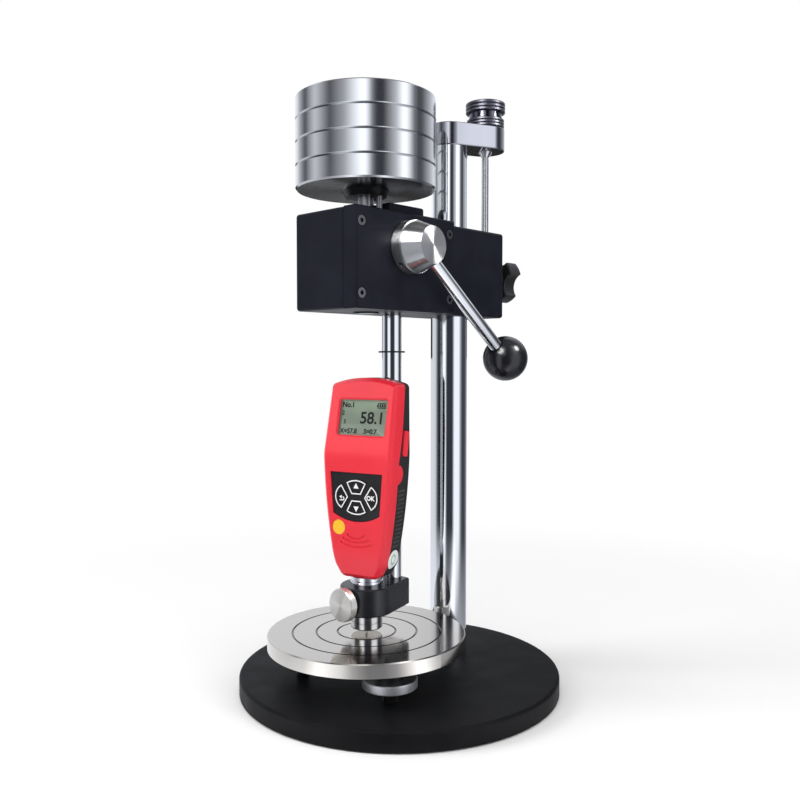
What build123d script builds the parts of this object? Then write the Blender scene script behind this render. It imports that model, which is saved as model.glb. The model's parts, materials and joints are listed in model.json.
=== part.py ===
"""Digital durometer clamped in a constant-load test stand.

Millimetres, Z up. The origin is the centre of the base's underside.
-Y is the operator's side, +X is the lever's side.
Each block makes one separate piece and writes its own STEP file.
"""
import os
from math import acos, atan2, cos, degrees, pi, radians, sin, sqrt, tan

from build123d import *

os.makedirs("parts", exist_ok=True)

# Fits, all radial
running_clearance = 0.05
seat_clearance = 0.03
free_clearance = 0.3
hexagon_sides = 6
quarter_turn = 90.0

# Base and column
base_diameter = 250.0
base_thickness = 14.0
base_edge_round = 2.5
base_pad_thickness = 1.0
base_pad_inset = 7.0
column_diameter = 30.0
column_setback = 59.5
column_socket_depth = 7.0
column_screw_diameter = 8.0
column_screw_head_diameter = 16.0
column_screw_head_height = 4.0
column_screw_grip = 20.0

# Platform and its levelling wheels
load_axis_front = 36.0
platform_diameter = 150.0
platform_thickness = 11.0
platform_edge_break = 0.8
platform_groove_radii = (22.0, 38.0, 56.0)
platform_groove_width = 1.6
platform_groove_depth = 0.8
wheel_diameter = 39.5
wheel_thickness = 6.6
wheel_gap = 10.5
wheel_hub_diameter = 20.0
wheel_hub_height = 7.9
wheel_edge_break = 0.6
wheel_pitch_radius = 50.0
wheel_first_angle = -25.0
wheel_count = 3
stud_diameter = 10.0
stud_into_base = 10.0
stud_into_platform = 3.2
platform_travel = 3.0

# Gauge clamp on the spindle
test_gap = 3.0
foot_diameter = 24.0
foot_height = 12.0
foot_floor = 3.0
foot_edge_break = 0.8
clamp_height = 21.0
clamp_boss_radius = 20.0
clamp_tail_width = 20.0
clamp_tail_length = 9.0
clamp_edge_break = 1.0
thumb_screw_height = 9.5
thumb_head_diameter = 25.0
thumb_head_thickness = 6.3
thumb_head_gap = 1.0
thumb_head_break = 1.0
thumb_shank_diameter = 6.0
grub_diameter = 5.0

# Spindle, weight rod and weights
rod_spacing = 27.5
spindle_diameter = 15.0
ring_diameter = 20.5
ring_thickness = 1.2
ring_groove_depth = 0.6
ring_drop = 30.0
weight_rod_diameter = 12.0
weight_rod_top_stand = 4.0
weight_rod_end_break = 1.5
weight_diameter = 104.5
weight_thickness = 16.8
weight_count = 4
weight_edge_break = 0.9
lowest_weight_break = 1.2
weight_collar_top_diameter = 35.5
weight_collar_low_diameter = 30.0
weight_collar_height = 4.7
weight_collar_gap = 13.8
load_travel = 12.0

# Slide head
head_gap = 49.0
head_height = 71.2
head_left = 31.6
head_right = 21.2
head_front_reach = 42.0
head_back_reach = 46.5
head_corner_round = 2.5
head_wall_top = 6.0
head_wall_bottom = 6.0
cavity_left = 18.0
cavity_front_reach = 26.0
cavity_back_reach = 17.5
head_travel = 60.0
cover_thickness = 13.0
cover_length = 104.5
cover_edge_break = 1.2
cover_screw_inset_front = 5.3
cover_screw_inset_back = 5.7
cover_screw_inset_up = 10.7
cover_screw_diameter = 4.0
cover_screw_head_diameter = 7.2
cover_screw_head_height = 4.0
cover_screw_socket = 3.0
cover_screw_socket_depth = 2.0
cover_screw_grip = 10.0
bush_wall = 2.0
bush_flange_width = 1.5
bush_flange_height = 1.1
cap_half_width = 15.0
cap_front_reach = 17.6
cap_back_reach = 20.0
cap_height = 10.2
cap_roof = 1.5
cap_edge_break = 1.0
stop_screw_diameter = 4.5
stop_screw_aside = 12.0
stop_screw_back = 2.0

# Lever, pinion and rack
lever_setback = 10.6
lever_height = 46.0
gear_module = 1.0
pinion_teeth = 18
pressure_angle = 20.0
gear_backlash = 0.16
pinion_addendum = 1.0
pinion_dedendum = 1.05
rack_addendum = 0.8
rack_dedendum = 1.25
pinion_near_x = 10.7
pinion_width = 8.5
pinion_shaft_diameter = 12.0
pinion_bush_wall = 3.0
pinion_bush_flange = 1.5
crosshead_height = 14.0
crosshead_rest_gap = 2.0
crosshead_half_width = 9.6
crosshead_wall = 3.2
rack_side_gap = 0.6
rack_back = 10.0
rack_above_axis = 4.4
hub_ring_diameter = 38.5
hub_ring_width = 8.0
hub_gap = 0.5
hub_neck_drop = 0.8
hub_neck_width = 0.9
hub_length = 23.5
hub_face_diameter = 27.0
hub_bore_depth = 17.0
hub_screw_diameter = 4.0
hub_screw_sink = 0.7
lever_rod_diameter = 10.0
lever_rod_root = 9.0
lever_plane = 11.4
lever_rest_angle = -38.5
lever_reach = 129.0
lever_ball_diameter = 36.0
lever_ball_flat = 1.3
lever_ball_grip = 12.0

# Head clamp on the column
clamp_axis_height = 34.5
clamp_stud_diameter = 8.0
clamp_pad_diameter = 10.0
clamp_pad_length = 6.0
star_diameter = 40.0
star_lobes = 4
star_first_valley = 15.0
star_valley_radius = 12.0
star_valley_depth = 7.0
star_thickness = 15.0
star_hub_diameter = 22.0
star_hub_length = 10.5
star_gap = 2.5
star_edge_round = 1.5
clamp_stud_in_knob = 15.0

# Top arm and height screw
screw_aside = 13.6
screw_behind_column = 30.4
arm_end_radius = 16.0
arm_thickness = 18.5
arm_edge_break = 0.6
arm_bolt_diameter = 8.0
arm_bolt_head_diameter = 13.0
arm_bolt_head_height = 8.0
arm_bolt_sink = 9.0
arm_bolt_grip = 16.0
arm_bolt_socket = 6.0
height_screw_diameter = 6.0
thrust_collar_diameter = 11.0
thrust_collar_height = 4.0
thrust_collar_taper = 28.0
travel_spare = 2.8
height_screw_end_gap = 1.5
knob_gap = 0.5
knob_low_diameter = 31.0
knob_low_height = 7.4
knob_neck_diameter = 27.5
knob_neck_height = 5.0
knob_high_diameter = 32.8
knob_high_height = 8.5
knob_crown_height = 2.8
knob_crown_diameter = 24.0
knob_edge_break = 0.8
screw_in_knob = 14.0

# Gauge housing
gauge_turn = 14.0
barrel_diameter = 22.6
barrel_collar_diameter = 25.0
barrel_collar_height = 3.4
barrel_groove_diameter = 21.0
barrel_groove_height = 0.6
barrel_flange_diameter = 23.8
barrel_flange_height = 2.7
barrel_spigot_diameter = 18.0
barrel_spigot_height = 5.5
barrel_tail_diameter = 16.0
barrel_bore_diameter = 8.0
housing_length = 149.8
housing_wall = 2.2
housing_bottom_half = 15.5
housing_foot_round = 6.0
housing_chin_half = 20.8
housing_chin_height = 9.5
housing_chin_round = 14.0
housing_grip_half = 27.0
housing_grip_share = 0.515
housing_half = 30.2
housing_shoulder_half = 29.0
housing_shoulder_drop = 5.0
housing_crown_round = 4.0
housing_front = 15.0
housing_chin_front = 12.5
housing_chin_front_height = 17.8
housing_chin_bend = 60.0
housing_deck_height = 92.8
housing_deck_bend = 45.0
housing_top_front = 3.0
housing_bottom_back = 12.6
housing_top_back = 16.8
housing_front_bevel = 2.6
housing_bevel_soft = 1.0
housing_back_round = 3.0
parting_bottom = -3.4
parting_waist = -3.4
parting_shoulder = 3.2
parting_shoulder_height = 110.0
parting_top = 9.6
parting_bump_height = 78.3
parting_bump_radius = 7.2

# Gauge display
display_drop = 29.4
display_aside = 1.8
display_width = 41.0
display_tall = 27.0
display_corner = 1.5
display_bevel = 1.4
display_bevel_depth = 0.9
window_seat = 1.4
window_lap = 2.0
window_thickness = 1.0
panel_thickness = 2.5
panel_lap = 1.0

# Gauge keys
key_centre_height = 61.1
key_panel_top = 79.5
key_panel_top_half = 22.8
key_panel_low = 48.4
key_panel_low_half = 20.5
key_panel_sag = 42.8
key_panel_recess = 1.0
key_panel_lip = 1.4
key_panel_flange = 1.0
key_proud = 0.6
key_travel = 0.8
key_side_gap = 0.3
key_collar = 0.9
key_collar_thickness = 1.0
key_rise = 7.65
key_rise_half_height = 5.6
key_rise_outer_half = 8.8
key_rise_crest = 2.5
key_rise_inner_half = 4.2
key_spread = 12.8
key_spread_half_height = 9.2
key_spread_half_width = 6.0
side_key_height = 100.8
side_key_length = 19.0
side_key_width = 7.0
side_key_back = 6.6
side_key_lean = -10.0
side_key_proud = 0.8
side_key_depth = 4.8
side_key_corner = 1.5
side_key_collar_thickness = 1.0
side_key_collar = 1.2
side_key_travel = 1.0

# Gauge mark, grooves and inner pieces
mark_diameter = 11.3
mark_aside = 15.3
mark_height = 37.8
mark_depth = 0.8
groove_heights = (30.4, 27.6, 24.2)
groove_half_widths = (7.2, 11.2, 13.4)
groove_sag = 2.6
groove_width = 1.4
groove_depth = 0.7
board_thickness = 1.6
board_front = 3.6
board_half_width = 17.5
board_low = 21.8
board_high = 100.8
board_wide_low = 83.8
board_wide_half = 24.0
post_radius = 3.2
screw_high_aside = 18.6
screw_high_height = 90.8
screw_low_aside = 13.0
screw_low_height = 28.8
shell_screw_diameter = 2.2
shell_screw_head_diameter = 4.4
shell_screw_head_height = 1.6
shell_screw_seat = 9.0
shell_screw_reach = 10.0
battery_diameter = 10.5
battery_length = 44.5
battery_low = 34.8
battery_aside = 5.6
indenter_tip_radius = 0.4
indenter_shaft_radius = 0.625
indenter_reach = 2.5
indenter_hole_radius = 1.5
indenter_guide_radius = 1.2
indenter_cone = 1.2
plunger_length = 11.0
spring_wall = 1.0
spring_top_wall = 3.5

# Levels worked out from the sizes above
base_bottom = base_pad_thickness
base_top = base_bottom + base_thickness
wheel_underside = base_top + wheel_gap
wheel_top = wheel_underside + wheel_thickness
platform_underside = wheel_top + wheel_hub_height
platform_top = platform_underside + platform_thickness
foot_underside = platform_top + test_gap
clamp_underside = foot_underside + foot_height
clamp_top = clamp_underside + clamp_height
housing_bottom = clamp_top + barrel_collar_height + barrel_groove_height + barrel_flange_height
housing_top = housing_bottom + housing_length
shoulder_height = housing_length - housing_shoulder_drop
grip_height = housing_deck_height * housing_grip_share
display_height = housing_length - display_drop
head_underside = housing_top + head_gap
head_top = head_underside + head_height
collar_underside = head_top + weight_collar_gap
weights_underside = collar_underside + weight_collar_height
weights_top = weights_underside + weight_thickness * weight_count
arm_underside = head_top + head_travel + travel_spare + thrust_collar_height
arm_top = arm_underside + arm_thickness
cavity_floor = head_underside + head_wall_bottom
cavity_roof = head_top - head_wall_top

# Positions worked out from the sizes above
base_radius = base_diameter / 2
column_radius = column_diameter / 2
load_y = -load_axis_front
spindle_y = load_y + rod_spacing
lever_y = load_y + lever_setback
lever_z = head_underside + lever_height
head_front_y = load_y - head_front_reach
head_back_y = column_setback + head_back_reach
cover_back_y = head_front_y + cover_length
cover_outer_x = head_right + cover_thickness
screw_y = column_setback + screw_behind_column
clamp_axis_z = head_underside + clamp_axis_height
spindle_radius = spindle_diameter / 2
weight_rod_radius = weight_rod_diameter / 2
barrel_radius = barrel_diameter / 2


def turning_plane(x, y):
    """Upright half-section plane through a vertical axis: local x is radius, local y is height."""
    return Plane(origin=(x, y, 0), x_dir=(1, 0, 0), z_dir=(0, -1, 0))


def upright(x, y):
    """Vertical axis through a point."""
    return Axis((x, y, 0), (0, 0, 1))


# Base plate with the column socket, the stud holes and a countersink from below
with BuildPart() as base_plate:
    with BuildSketch(Plane.XY.offset(base_bottom)):
        Circle(base_radius)
    extrude(amount=base_thickness)
    fillet(base_plate.edges().group_by(Axis.Z)[-1], base_edge_round)
    with BuildSketch(Plane.XY.offset(base_top)):
        with Locations((0, column_setback)):
            Circle(column_radius + seat_clearance)
    extrude(amount=-column_socket_depth, mode=Mode.SUBTRACT)
    with BuildSketch(Plane.XY.offset(base_top)):
        with Locations((0, load_y)):
            with PolarLocations(wheel_pitch_radius, wheel_count, wheel_first_angle):
                Circle(stud_diameter / 2 + seat_clearance)
    extrude(amount=-stud_into_base, mode=Mode.SUBTRACT)
    with BuildSketch(turning_plane(0, column_setback)):
        with BuildLine():
            Polyline(
                (0, base_bottom),
                (column_screw_head_diameter / 2 + seat_clearance, base_bottom),
                (column_screw_diameter / 2 + seat_clearance, base_bottom + column_screw_head_height),
                (column_screw_diameter / 2 + seat_clearance, base_top - column_socket_depth),
                (0, base_top - column_socket_depth),
                close=True,
            )
        make_face()
    revolve(axis=upright(0, column_setback), mode=Mode.SUBTRACT)
base_plate.part.label = "base_plate"
export_step(base_plate.part, "parts/base_plate.step")

# Rubber sheet under the base
with BuildPart() as base_pad:
    with BuildSketch(Plane.XY):
        Circle(base_radius - base_pad_inset)
    extrude(amount=base_pad_thickness)
base_pad.part.label = "base_pad"
export_step(base_pad.part, "parts/base_pad.step")

# Chrome column, tapped at both ends
with BuildPart() as column:
    with BuildSketch(Plane.XY.offset(base_top - column_socket_depth)):
        with Locations((0, column_setback)):
            Circle(column_radius)
    extrude(amount=arm_underside - base_top + column_socket_depth)
    with BuildSketch(Plane.XY.offset(base_top - column_socket_depth)):
        with Locations((0, column_setback)):
            Circle(column_screw_diameter / 2 + seat_clearance)
    extrude(amount=column_screw_grip + free_clearance, mode=Mode.SUBTRACT)
    with BuildSketch(Plane.XY.offset(arm_underside)):
        with Locations((0, column_setback)):
            Circle(arm_bolt_diameter / 2 + seat_clearance)
    extrude(amount=-(arm_bolt_grip + free_clearance), mode=Mode.SUBTRACT)
column.part.label = "column"
export_step(column.part, "parts/column.step")

# Countersunk screw that draws the column into the base
with BuildPart() as column_screw:
    with BuildSketch(turning_plane(0, column_setback)):
        with BuildLine():
            Polyline(
                (0, base_bottom),
                (column_screw_head_diameter / 2, base_bottom),
                (column_screw_diameter / 2, base_bottom + column_screw_head_height),
                (column_screw_diameter / 2, base_top - column_socket_depth + column_screw_grip),
                (0, base_top - column_socket_depth + column_screw_grip),
                close=True,
            )
        make_face()
    revolve(axis=upright(0, column_setback))
column_screw.part.label = "column_screw"
export_step(column_screw.part, "parts/column_screw.step")

# Three studs that the levelling wheels run on
with BuildPart() as levelling_studs:
    with BuildSketch(Plane.XY.offset(base_top - stud_into_base)):
        with Locations((0, load_y)):
            with PolarLocations(wheel_pitch_radius, wheel_count, wheel_first_angle):
                Circle(stud_diameter / 2)
    extrude(amount=platform_underside + stud_into_platform - base_top + stud_into_base)
levelling_studs.part.label = "levelling_studs"
export_step(levelling_studs.part, "parts/levelling_studs.step")

# Levelling wheels: knurled rim, hub that carries the platform
for wheel_index in range(wheel_count):
    wheel_angle = radians(wheel_first_angle + 360 / wheel_count * wheel_index)
    wheel_x = wheel_pitch_radius * cos(wheel_angle)
    wheel_y = load_y + wheel_pitch_radius * sin(wheel_angle)
    with BuildPart() as levelling_wheel:
        with BuildSketch(turning_plane(wheel_x, wheel_y)):
            with BuildLine():
                Polyline(
                    (stud_diameter / 2 + running_clearance, wheel_underside),
                    (wheel_diameter / 2 - wheel_edge_break, wheel_underside),
                    (wheel_diameter / 2, wheel_underside + wheel_edge_break),
                    (wheel_diameter / 2, wheel_top - wheel_edge_break),
                    (wheel_diameter / 2 - wheel_edge_break, wheel_top),
                    (wheel_hub_diameter / 2, wheel_top),
                    (wheel_hub_diameter / 2, platform_underside),
                    (stud_diameter / 2 + running_clearance, platform_underside),
                    close=True,
                )
            make_face()
        revolve(axis=upright(wheel_x, wheel_y))
    levelling_wheel.part.label = f"levelling_wheel_{wheel_index + 1}"
    export_step(levelling_wheel.part, f"parts/levelling_wheel_{wheel_index + 1}.step")

# Turned steel platform with ring grooves and blind holes for the stud ends
with BuildPart() as platform:
    with BuildSketch(Plane.XY.offset(platform_underside)):
        with Locations((0, load_y)):
            Circle(platform_diameter / 2)
    extrude(amount=platform_thickness)
    chamfer(platform.edges().group_by(Axis.Z)[-1], platform_edge_break)
    chamfer(platform.edges().group_by(Axis.Z)[0], platform_edge_break)
    for groove_radius in platform_groove_radii:
        with BuildSketch(Plane.XY.offset(platform_top)):
            with Locations((0, load_y)):
                Circle(groove_radius + platform_groove_width / 2)
                Circle(groove_radius - platform_groove_width / 2, mode=Mode.SUBTRACT)
        extrude(amount=-platform_groove_depth, mode=Mode.SUBTRACT)
    with BuildSketch(Plane.XY.offset(platform_underside)):
        with Locations((0, load_y)):
            with PolarLocations(wheel_pitch_radius, wheel_count, wheel_first_angle):
                Circle(stud_diameter / 2 + free_clearance)
    extrude(amount=stud_into_platform + platform_travel + free_clearance, mode=Mode.SUBTRACT)
platform.part.label = "platform"
export_step(platform.part, "parts/platform.step")

# Top arm: two round ends joined by flat sides, turned so that its screw clears the head clamp
arm_span = sqrt(screw_aside**2 + screw_behind_column**2)
arm_heading = degrees(atan2(screw_behind_column, screw_aside))
with BuildPart() as top_arm:
    with BuildSketch(Plane.XY.offset(arm_underside)):
        with Locations(Location((screw_aside / 2, column_setback + screw_behind_column / 2), arm_heading)):
            SlotCenterToCenter(arm_span, 2 * arm_end_radius)
    extrude(amount=arm_thickness)
    chamfer(top_arm.edges().group_by(Axis.Z)[-1], arm_edge_break)
    chamfer(top_arm.edges().group_by(Axis.Z)[0], arm_edge_break)
    with BuildSketch(Plane.XY.offset(arm_underside)):
        with Locations((0, column_setback)):
            Circle(arm_bolt_diameter / 2 + seat_clearance)
        with Locations((screw_aside, screw_y)):
            Circle(height_screw_diameter / 2 + running_clearance)
    extrude(amount=arm_thickness, mode=Mode.SUBTRACT)
    with BuildSketch(Plane.XY.offset(arm_top)):
        with Locations((0, column_setback)):
            Circle(arm_bolt_head_diameter / 2 + free_clearance)
    extrude(amount=-arm_bolt_sink, mode=Mode.SUBTRACT)
top_arm.part.label = "top_arm"
export_step(top_arm.part, "parts/top_arm.step")

# Bolt that holds the arm on the column
with BuildPart() as arm_bolt:
    with BuildSketch(Plane.XY.offset(arm_top - arm_bolt_sink)):
        with Locations((0, column_setback)):
            Circle(arm_bolt_head_diameter / 2)
            RegularPolygon(arm_bolt_socket / 2, hexagon_sides, major_radius=False, mode=Mode.SUBTRACT)
    extrude(amount=arm_bolt_head_height)
    with BuildSketch(Plane.XY.offset(arm_underside - arm_bolt_grip)):
        with Locations((0, column_setback)):
            Circle(arm_bolt_diameter / 2)
    extrude(amount=arm_bolt_grip + arm_thickness - arm_bolt_sink + arm_bolt_head_height / 2)
arm_bolt.part.label = "arm_bolt"
export_step(arm_bolt.part, "parts/arm_bolt.step")

# Height screw with its thrust collar under the arm
knob_underside = arm_top + knob_gap
with BuildPart() as height_screw:
    with BuildSketch(Plane.XY.offset(head_underside + height_screw_end_gap)):
        with Locations((screw_aside, screw_y)):
            Circle(height_screw_diameter / 2)
    extrude(amount=knob_underside + screw_in_knob - head_underside - height_screw_end_gap)
    with BuildSketch(Plane.XY.offset(arm_underside - seat_clearance)):
        with Locations((screw_aside, screw_y)):
            Circle(thrust_collar_diameter / 2)
    extrude(amount=-(thrust_collar_height - seat_clearance), taper=thrust_collar_taper)
height_screw.part.label = "height_screw"
export_step(height_screw.part, "parts/height_screw.step")

# Height knob: two knurled bands with a polished neck between them
knob_neck_low = knob_underside + knob_low_height
knob_neck_high = knob_neck_low + knob_neck_height
knob_shoulder = knob_neck_high + knob_high_height
knob_top = knob_shoulder + knob_crown_height
crown_half = knob_crown_diameter / 2
crown_radius = (crown_half**2 + knob_crown_height**2) / (2 * knob_crown_height)
crown_start = degrees(acos(crown_half / crown_radius))
with BuildPart() as height_knob:
    with BuildSketch(turning_plane(screw_aside, screw_y)):
        with BuildLine():
            Polyline(
                (0, knob_underside + screw_in_knob + free_clearance),
                (height_screw_diameter / 2 + seat_clearance, knob_underside + screw_in_knob + free_clearance),
                (height_screw_diameter / 2 + seat_clearance, knob_underside),
                (knob_low_diameter / 2 - knob_edge_break, knob_underside),
                (knob_low_diameter / 2, knob_underside + knob_edge_break),
                (knob_low_diameter / 2, knob_neck_low - knob_edge_break),
                (knob_low_diameter / 2 - knob_edge_break, knob_neck_low),
                (knob_neck_diameter / 2, knob_neck_low),
                (knob_neck_diameter / 2, knob_neck_high),
                (knob_high_diameter / 2 - knob_edge_break, knob_neck_high),
                (knob_high_diameter / 2, knob_neck_high + knob_edge_break),
                (knob_high_diameter / 2, knob_shoulder - knob_edge_break),
                (knob_high_diameter / 2 - knob_edge_break, knob_shoulder),
                (knob_crown_diameter / 2, knob_shoulder),
            )
            CenterArc((0, knob_top - crown_radius), crown_radius, crown_start, quarter_turn - crown_start)
            Line((0, knob_top), (0, knob_underside + screw_in_knob + free_clearance))
        make_face()
    revolve(axis=upright(screw_aside, screw_y))
height_knob.part.label = "height_knob"
export_step(height_knob.part, "parts/height_knob.step")

# Slide head block: gear box in front, column bore, screw bore and clamp bore behind
column_rear_y = column_setback + column_radius
rod_bush_radius = weight_rod_radius + running_clearance + bush_wall
spindle_bush_radius = spindle_radius + running_clearance + bush_wall
cover_screw_ys = (head_front_y + cover_screw_inset_front, cover_back_y - cover_screw_inset_back)
cover_screw_zs = (head_underside + cover_screw_inset_up, head_top - cover_screw_inset_up)
cover_screw_points = [(y, z) for y in cover_screw_ys for z in cover_screw_zs]
side_plane = Plane(origin=(head_right, 0, 0), x_dir=(0, 1, 0), z_dir=(1, 0, 0))
with BuildPart() as head_body:
    with BuildSketch(Plane.XY.offset(head_underside)):
        with BuildLine():
            Polyline(
                (-head_left, head_front_y),
                (head_right, head_front_y),
                (head_right, head_back_y),
                (-head_left, head_back_y),
                close=True,
            )
        make_face()
    extrude(amount=head_height)
    fillet(head_body.edges(), head_corner_round)
    with BuildSketch(side_plane):
        with BuildLine():
            Polyline(
                (load_y - cavity_front_reach, cavity_floor),
                (spindle_y + cavity_back_reach, cavity_floor),
                (spindle_y + cavity_back_reach, cavity_roof),
                (load_y - cavity_front_reach, cavity_roof),
                close=True,
            )
        make_face()
    extrude(amount=-(head_right + cavity_left), mode=Mode.SUBTRACT)
    with BuildSketch(Plane.XY.offset(head_underside)):
        with Locations((0, column_setback)):
            Circle(column_radius + running_clearance)
        with Locations((screw_aside, screw_y)):
            Circle(height_screw_diameter / 2 + running_clearance)
        with Locations((0, load_y)):
            Circle(rod_bush_radius)
        with Locations((0, spindle_y)):
            Circle(spindle_bush_radius)
    extrude(amount=head_height, mode=Mode.SUBTRACT)
    with BuildSketch(Plane(origin=(0, head_back_y, clamp_axis_z), x_dir=(-1, 0, 0), z_dir=(0, 1, 0))):
        Circle(clamp_stud_diameter / 2 + running_clearance)
    extrude(amount=-(head_back_y - column_setback), mode=Mode.SUBTRACT)
    with BuildSketch(
        Plane(origin=(0, column_rear_y + clamp_pad_length, clamp_axis_z), x_dir=(-1, 0, 0), z_dir=(0, 1, 0))
    ):
        Circle(clamp_pad_diameter / 2 + running_clearance)
    extrude(amount=-(clamp_pad_length + column_radius), mode=Mode.SUBTRACT)
    with BuildSketch(side_plane):
        with Locations(*cover_screw_points):
            Circle(cover_screw_diameter / 2 + seat_clearance)
    extrude(amount=-(cover_screw_grip + free_clearance), mode=Mode.SUBTRACT)
    with BuildSketch(Plane.XY.offset(head_top)):
        with Locations((stop_screw_aside, load_y + stop_screw_back)):
            Circle(stop_screw_diameter / 2 + seat_clearance)
    extrude(amount=-head_wall_top, mode=Mode.SUBTRACT)
head_body.part.label = "head_body"
export_step(head_body.part, "parts/head_body.step")

# Side cover that carries the lever's bush
pinion_bush_radius = pinion_shaft_diameter / 2 + running_clearance + pinion_bush_wall
with BuildPart() as head_cover:
    with BuildSketch(side_plane):
        with BuildLine():
            Polyline(
                (head_front_y, head_underside),
                (cover_back_y, head_underside),
                (cover_back_y, head_top),
                (head_front_y, head_top),
                close=True,
            )
        make_face()
    extrude(amount=cover_thickness)
    chamfer(head_cover.faces().sort_by(Axis.X)[-1].edges(), cover_edge_break)
    with BuildSketch(side_plane):
        with Locations((lever_y, lever_z)):
            Circle(pinion_bush_radius + seat_clearance)
        with Locations(*cover_screw_points):
            Circle(cover_screw_diameter / 2 + free_clearance)
    extrude(amount=cover_thickness, mode=Mode.SUBTRACT)
    with BuildSketch(side_plane.offset(cover_thickness)):
        with Locations(*cover_screw_points):
            Circle(cover_screw_head_diameter / 2 + free_clearance)
    extrude(amount=-(cover_screw_head_height + free_clearance), mode=Mode.SUBTRACT)
head_cover.part.label = "head_cover"
export_step(head_cover.part, "parts/head_cover.step")

# Four socket screws of the side cover
cover_screw_seat = cover_thickness - cover_screw_head_height - free_clearance
with BuildPart() as cover_screws:
    with BuildSketch(side_plane.offset(cover_screw_seat)):
        with Locations(*cover_screw_points):
            Circle(cover_screw_head_diameter / 2)
    extrude(amount=cover_screw_head_height)
    with BuildSketch(side_plane.offset(-cover_screw_grip)):
        with Locations(*cover_screw_points):
            Circle(cover_screw_diameter / 2)
    extrude(amount=cover_screw_grip + cover_screw_seat)
    with BuildSketch(side_plane.offset(cover_screw_seat + cover_screw_head_height)):
        with Locations(*cover_screw_points):
            RegularPolygon(cover_screw_socket / 2, hexagon_sides, major_radius=False)
    extrude(amount=-cover_screw_socket_depth, mode=Mode.SUBTRACT)
cover_screws.part.label = "cover_screws"
export_step(cover_screws.part, "parts/cover_screws.step")

# Bushes of the weight rod, flanged outside the head
with BuildPart() as rod_bushes:
    with BuildSketch(Plane.XY.offset(head_underside)):
        with Locations((0, load_y)):
            Circle(rod_bush_radius - seat_clearance)
    extrude(amount=head_wall_bottom)
    with BuildSketch(Plane.XY.offset(head_underside - bush_flange_height)):
        with Locations((0, load_y)):
            Circle(rod_bush_radius + bush_flange_width)
    extrude(amount=bush_flange_height)
    with BuildSketch(Plane.XY.offset(cavity_roof)):
        with Locations((0, load_y)):
            Circle(rod_bush_radius - seat_clearance)
    extrude(amount=head_wall_top)
    with BuildSketch(Plane.XY.offset(head_top)):
        with Locations((0, load_y)):
            Circle(rod_bush_radius + bush_flange_width)
    extrude(amount=bush_flange_height)
    with BuildSketch(Plane.XY.offset(head_underside - bush_flange_height)):
        with Locations((0, load_y)):
            Circle(weight_rod_radius + running_clearance)
    extrude(amount=head_height + 2 * bush_flange_height, mode=Mode.SUBTRACT)
rod_bushes.part.label = "rod_bushes"
export_step(rod_bushes.part, "parts/rod_bushes.step")

# Plain bushes of the spindle
with BuildPart() as spindle_bushes:
    with BuildSketch(Plane.XY.offset(head_underside)):
        with Locations((0, spindle_y)):
            Circle(spindle_bush_radius - seat_clearance)
            Circle(spindle_radius + running_clearance, mode=Mode.SUBTRACT)
    extrude(amount=head_wall_bottom)
    with BuildSketch(Plane.XY.offset(cavity_roof)):
        with Locations((0, spindle_y)):
            Circle(spindle_bush_radius - seat_clearance)
            Circle(spindle_radius + running_clearance, mode=Mode.SUBTRACT)
    extrude(amount=head_wall_top)
spindle_bushes.part.label = "spindle_bushes"
export_step(spindle_bushes.part, "parts/spindle_bushes.step")

# Cap over the upper end of the spindle
with BuildPart() as top_cap:
    with BuildSketch(Plane.XY.offset(head_top)):
        with BuildLine():
            Polyline(
                (-cap_half_width, spindle_y - cap_front_reach),
                (cap_half_width, spindle_y - cap_front_reach),
                (cap_half_width, spindle_y + cap_back_reach),
                (-cap_half_width, spindle_y + cap_back_reach),
                close=True,
            )
        make_face()
    extrude(amount=cap_height)
    chamfer(top_cap.faces().sort_by(Axis.Z)[-1].edges(), cap_edge_break)
    with BuildSketch(Plane.XY.offset(head_top)):
        with Locations((0, spindle_y)):
            Circle(spindle_radius + free_clearance)
    extrude(amount=cap_height - cap_roof, mode=Mode.SUBTRACT)
top_cap.part.label = "top_cap"
export_step(top_cap.part, "parts/top_cap.step")

# Stop screw that the weight collar comes to rest on
with BuildPart() as stop_screw:
    with BuildSketch(Plane.XY.offset(cavity_roof)):
        with Locations((stop_screw_aside, load_y + stop_screw_back)):
            Circle(stop_screw_diameter / 2)
    extrude(amount=head_wall_top + weight_collar_gap)
stop_screw.part.label = "stop_screw"
export_step(stop_screw.part, "parts/stop_screw.step")

# Weight rod: through both bushes, the crosshead, the collar and the weights
with BuildPart() as weight_rod:
    with BuildSketch(Plane.XY.offset(head_underside - bush_flange_height)):
        with Locations((0, load_y)):
            Circle(weight_rod_radius)
    extrude(amount=weights_top + weight_rod_top_stand - head_underside + bush_flange_height)
    chamfer(weight_rod.edges().group_by(Axis.Z)[-1], weight_rod_end_break)
weight_rod.part.label = "weight_rod"
export_step(weight_rod.part, "parts/weight_rod.step")

# Collar under the weights
with BuildPart() as weight_collar:
    with BuildSketch(turning_plane(0, load_y)):
        with BuildLine():
            Polyline(
                (weight_rod_radius + seat_clearance, collar_underside),
                (weight_collar_low_diameter / 2, collar_underside),
                (weight_collar_top_diameter / 2, weights_underside),
                (weight_rod_radius + seat_clearance, weights_underside),
                close=True,
            )
        make_face()
    revolve(axis=upright(0, load_y))
weight_collar.part.label = "weight_collar"
export_step(weight_collar.part, "parts/weight_collar.step")

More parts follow.
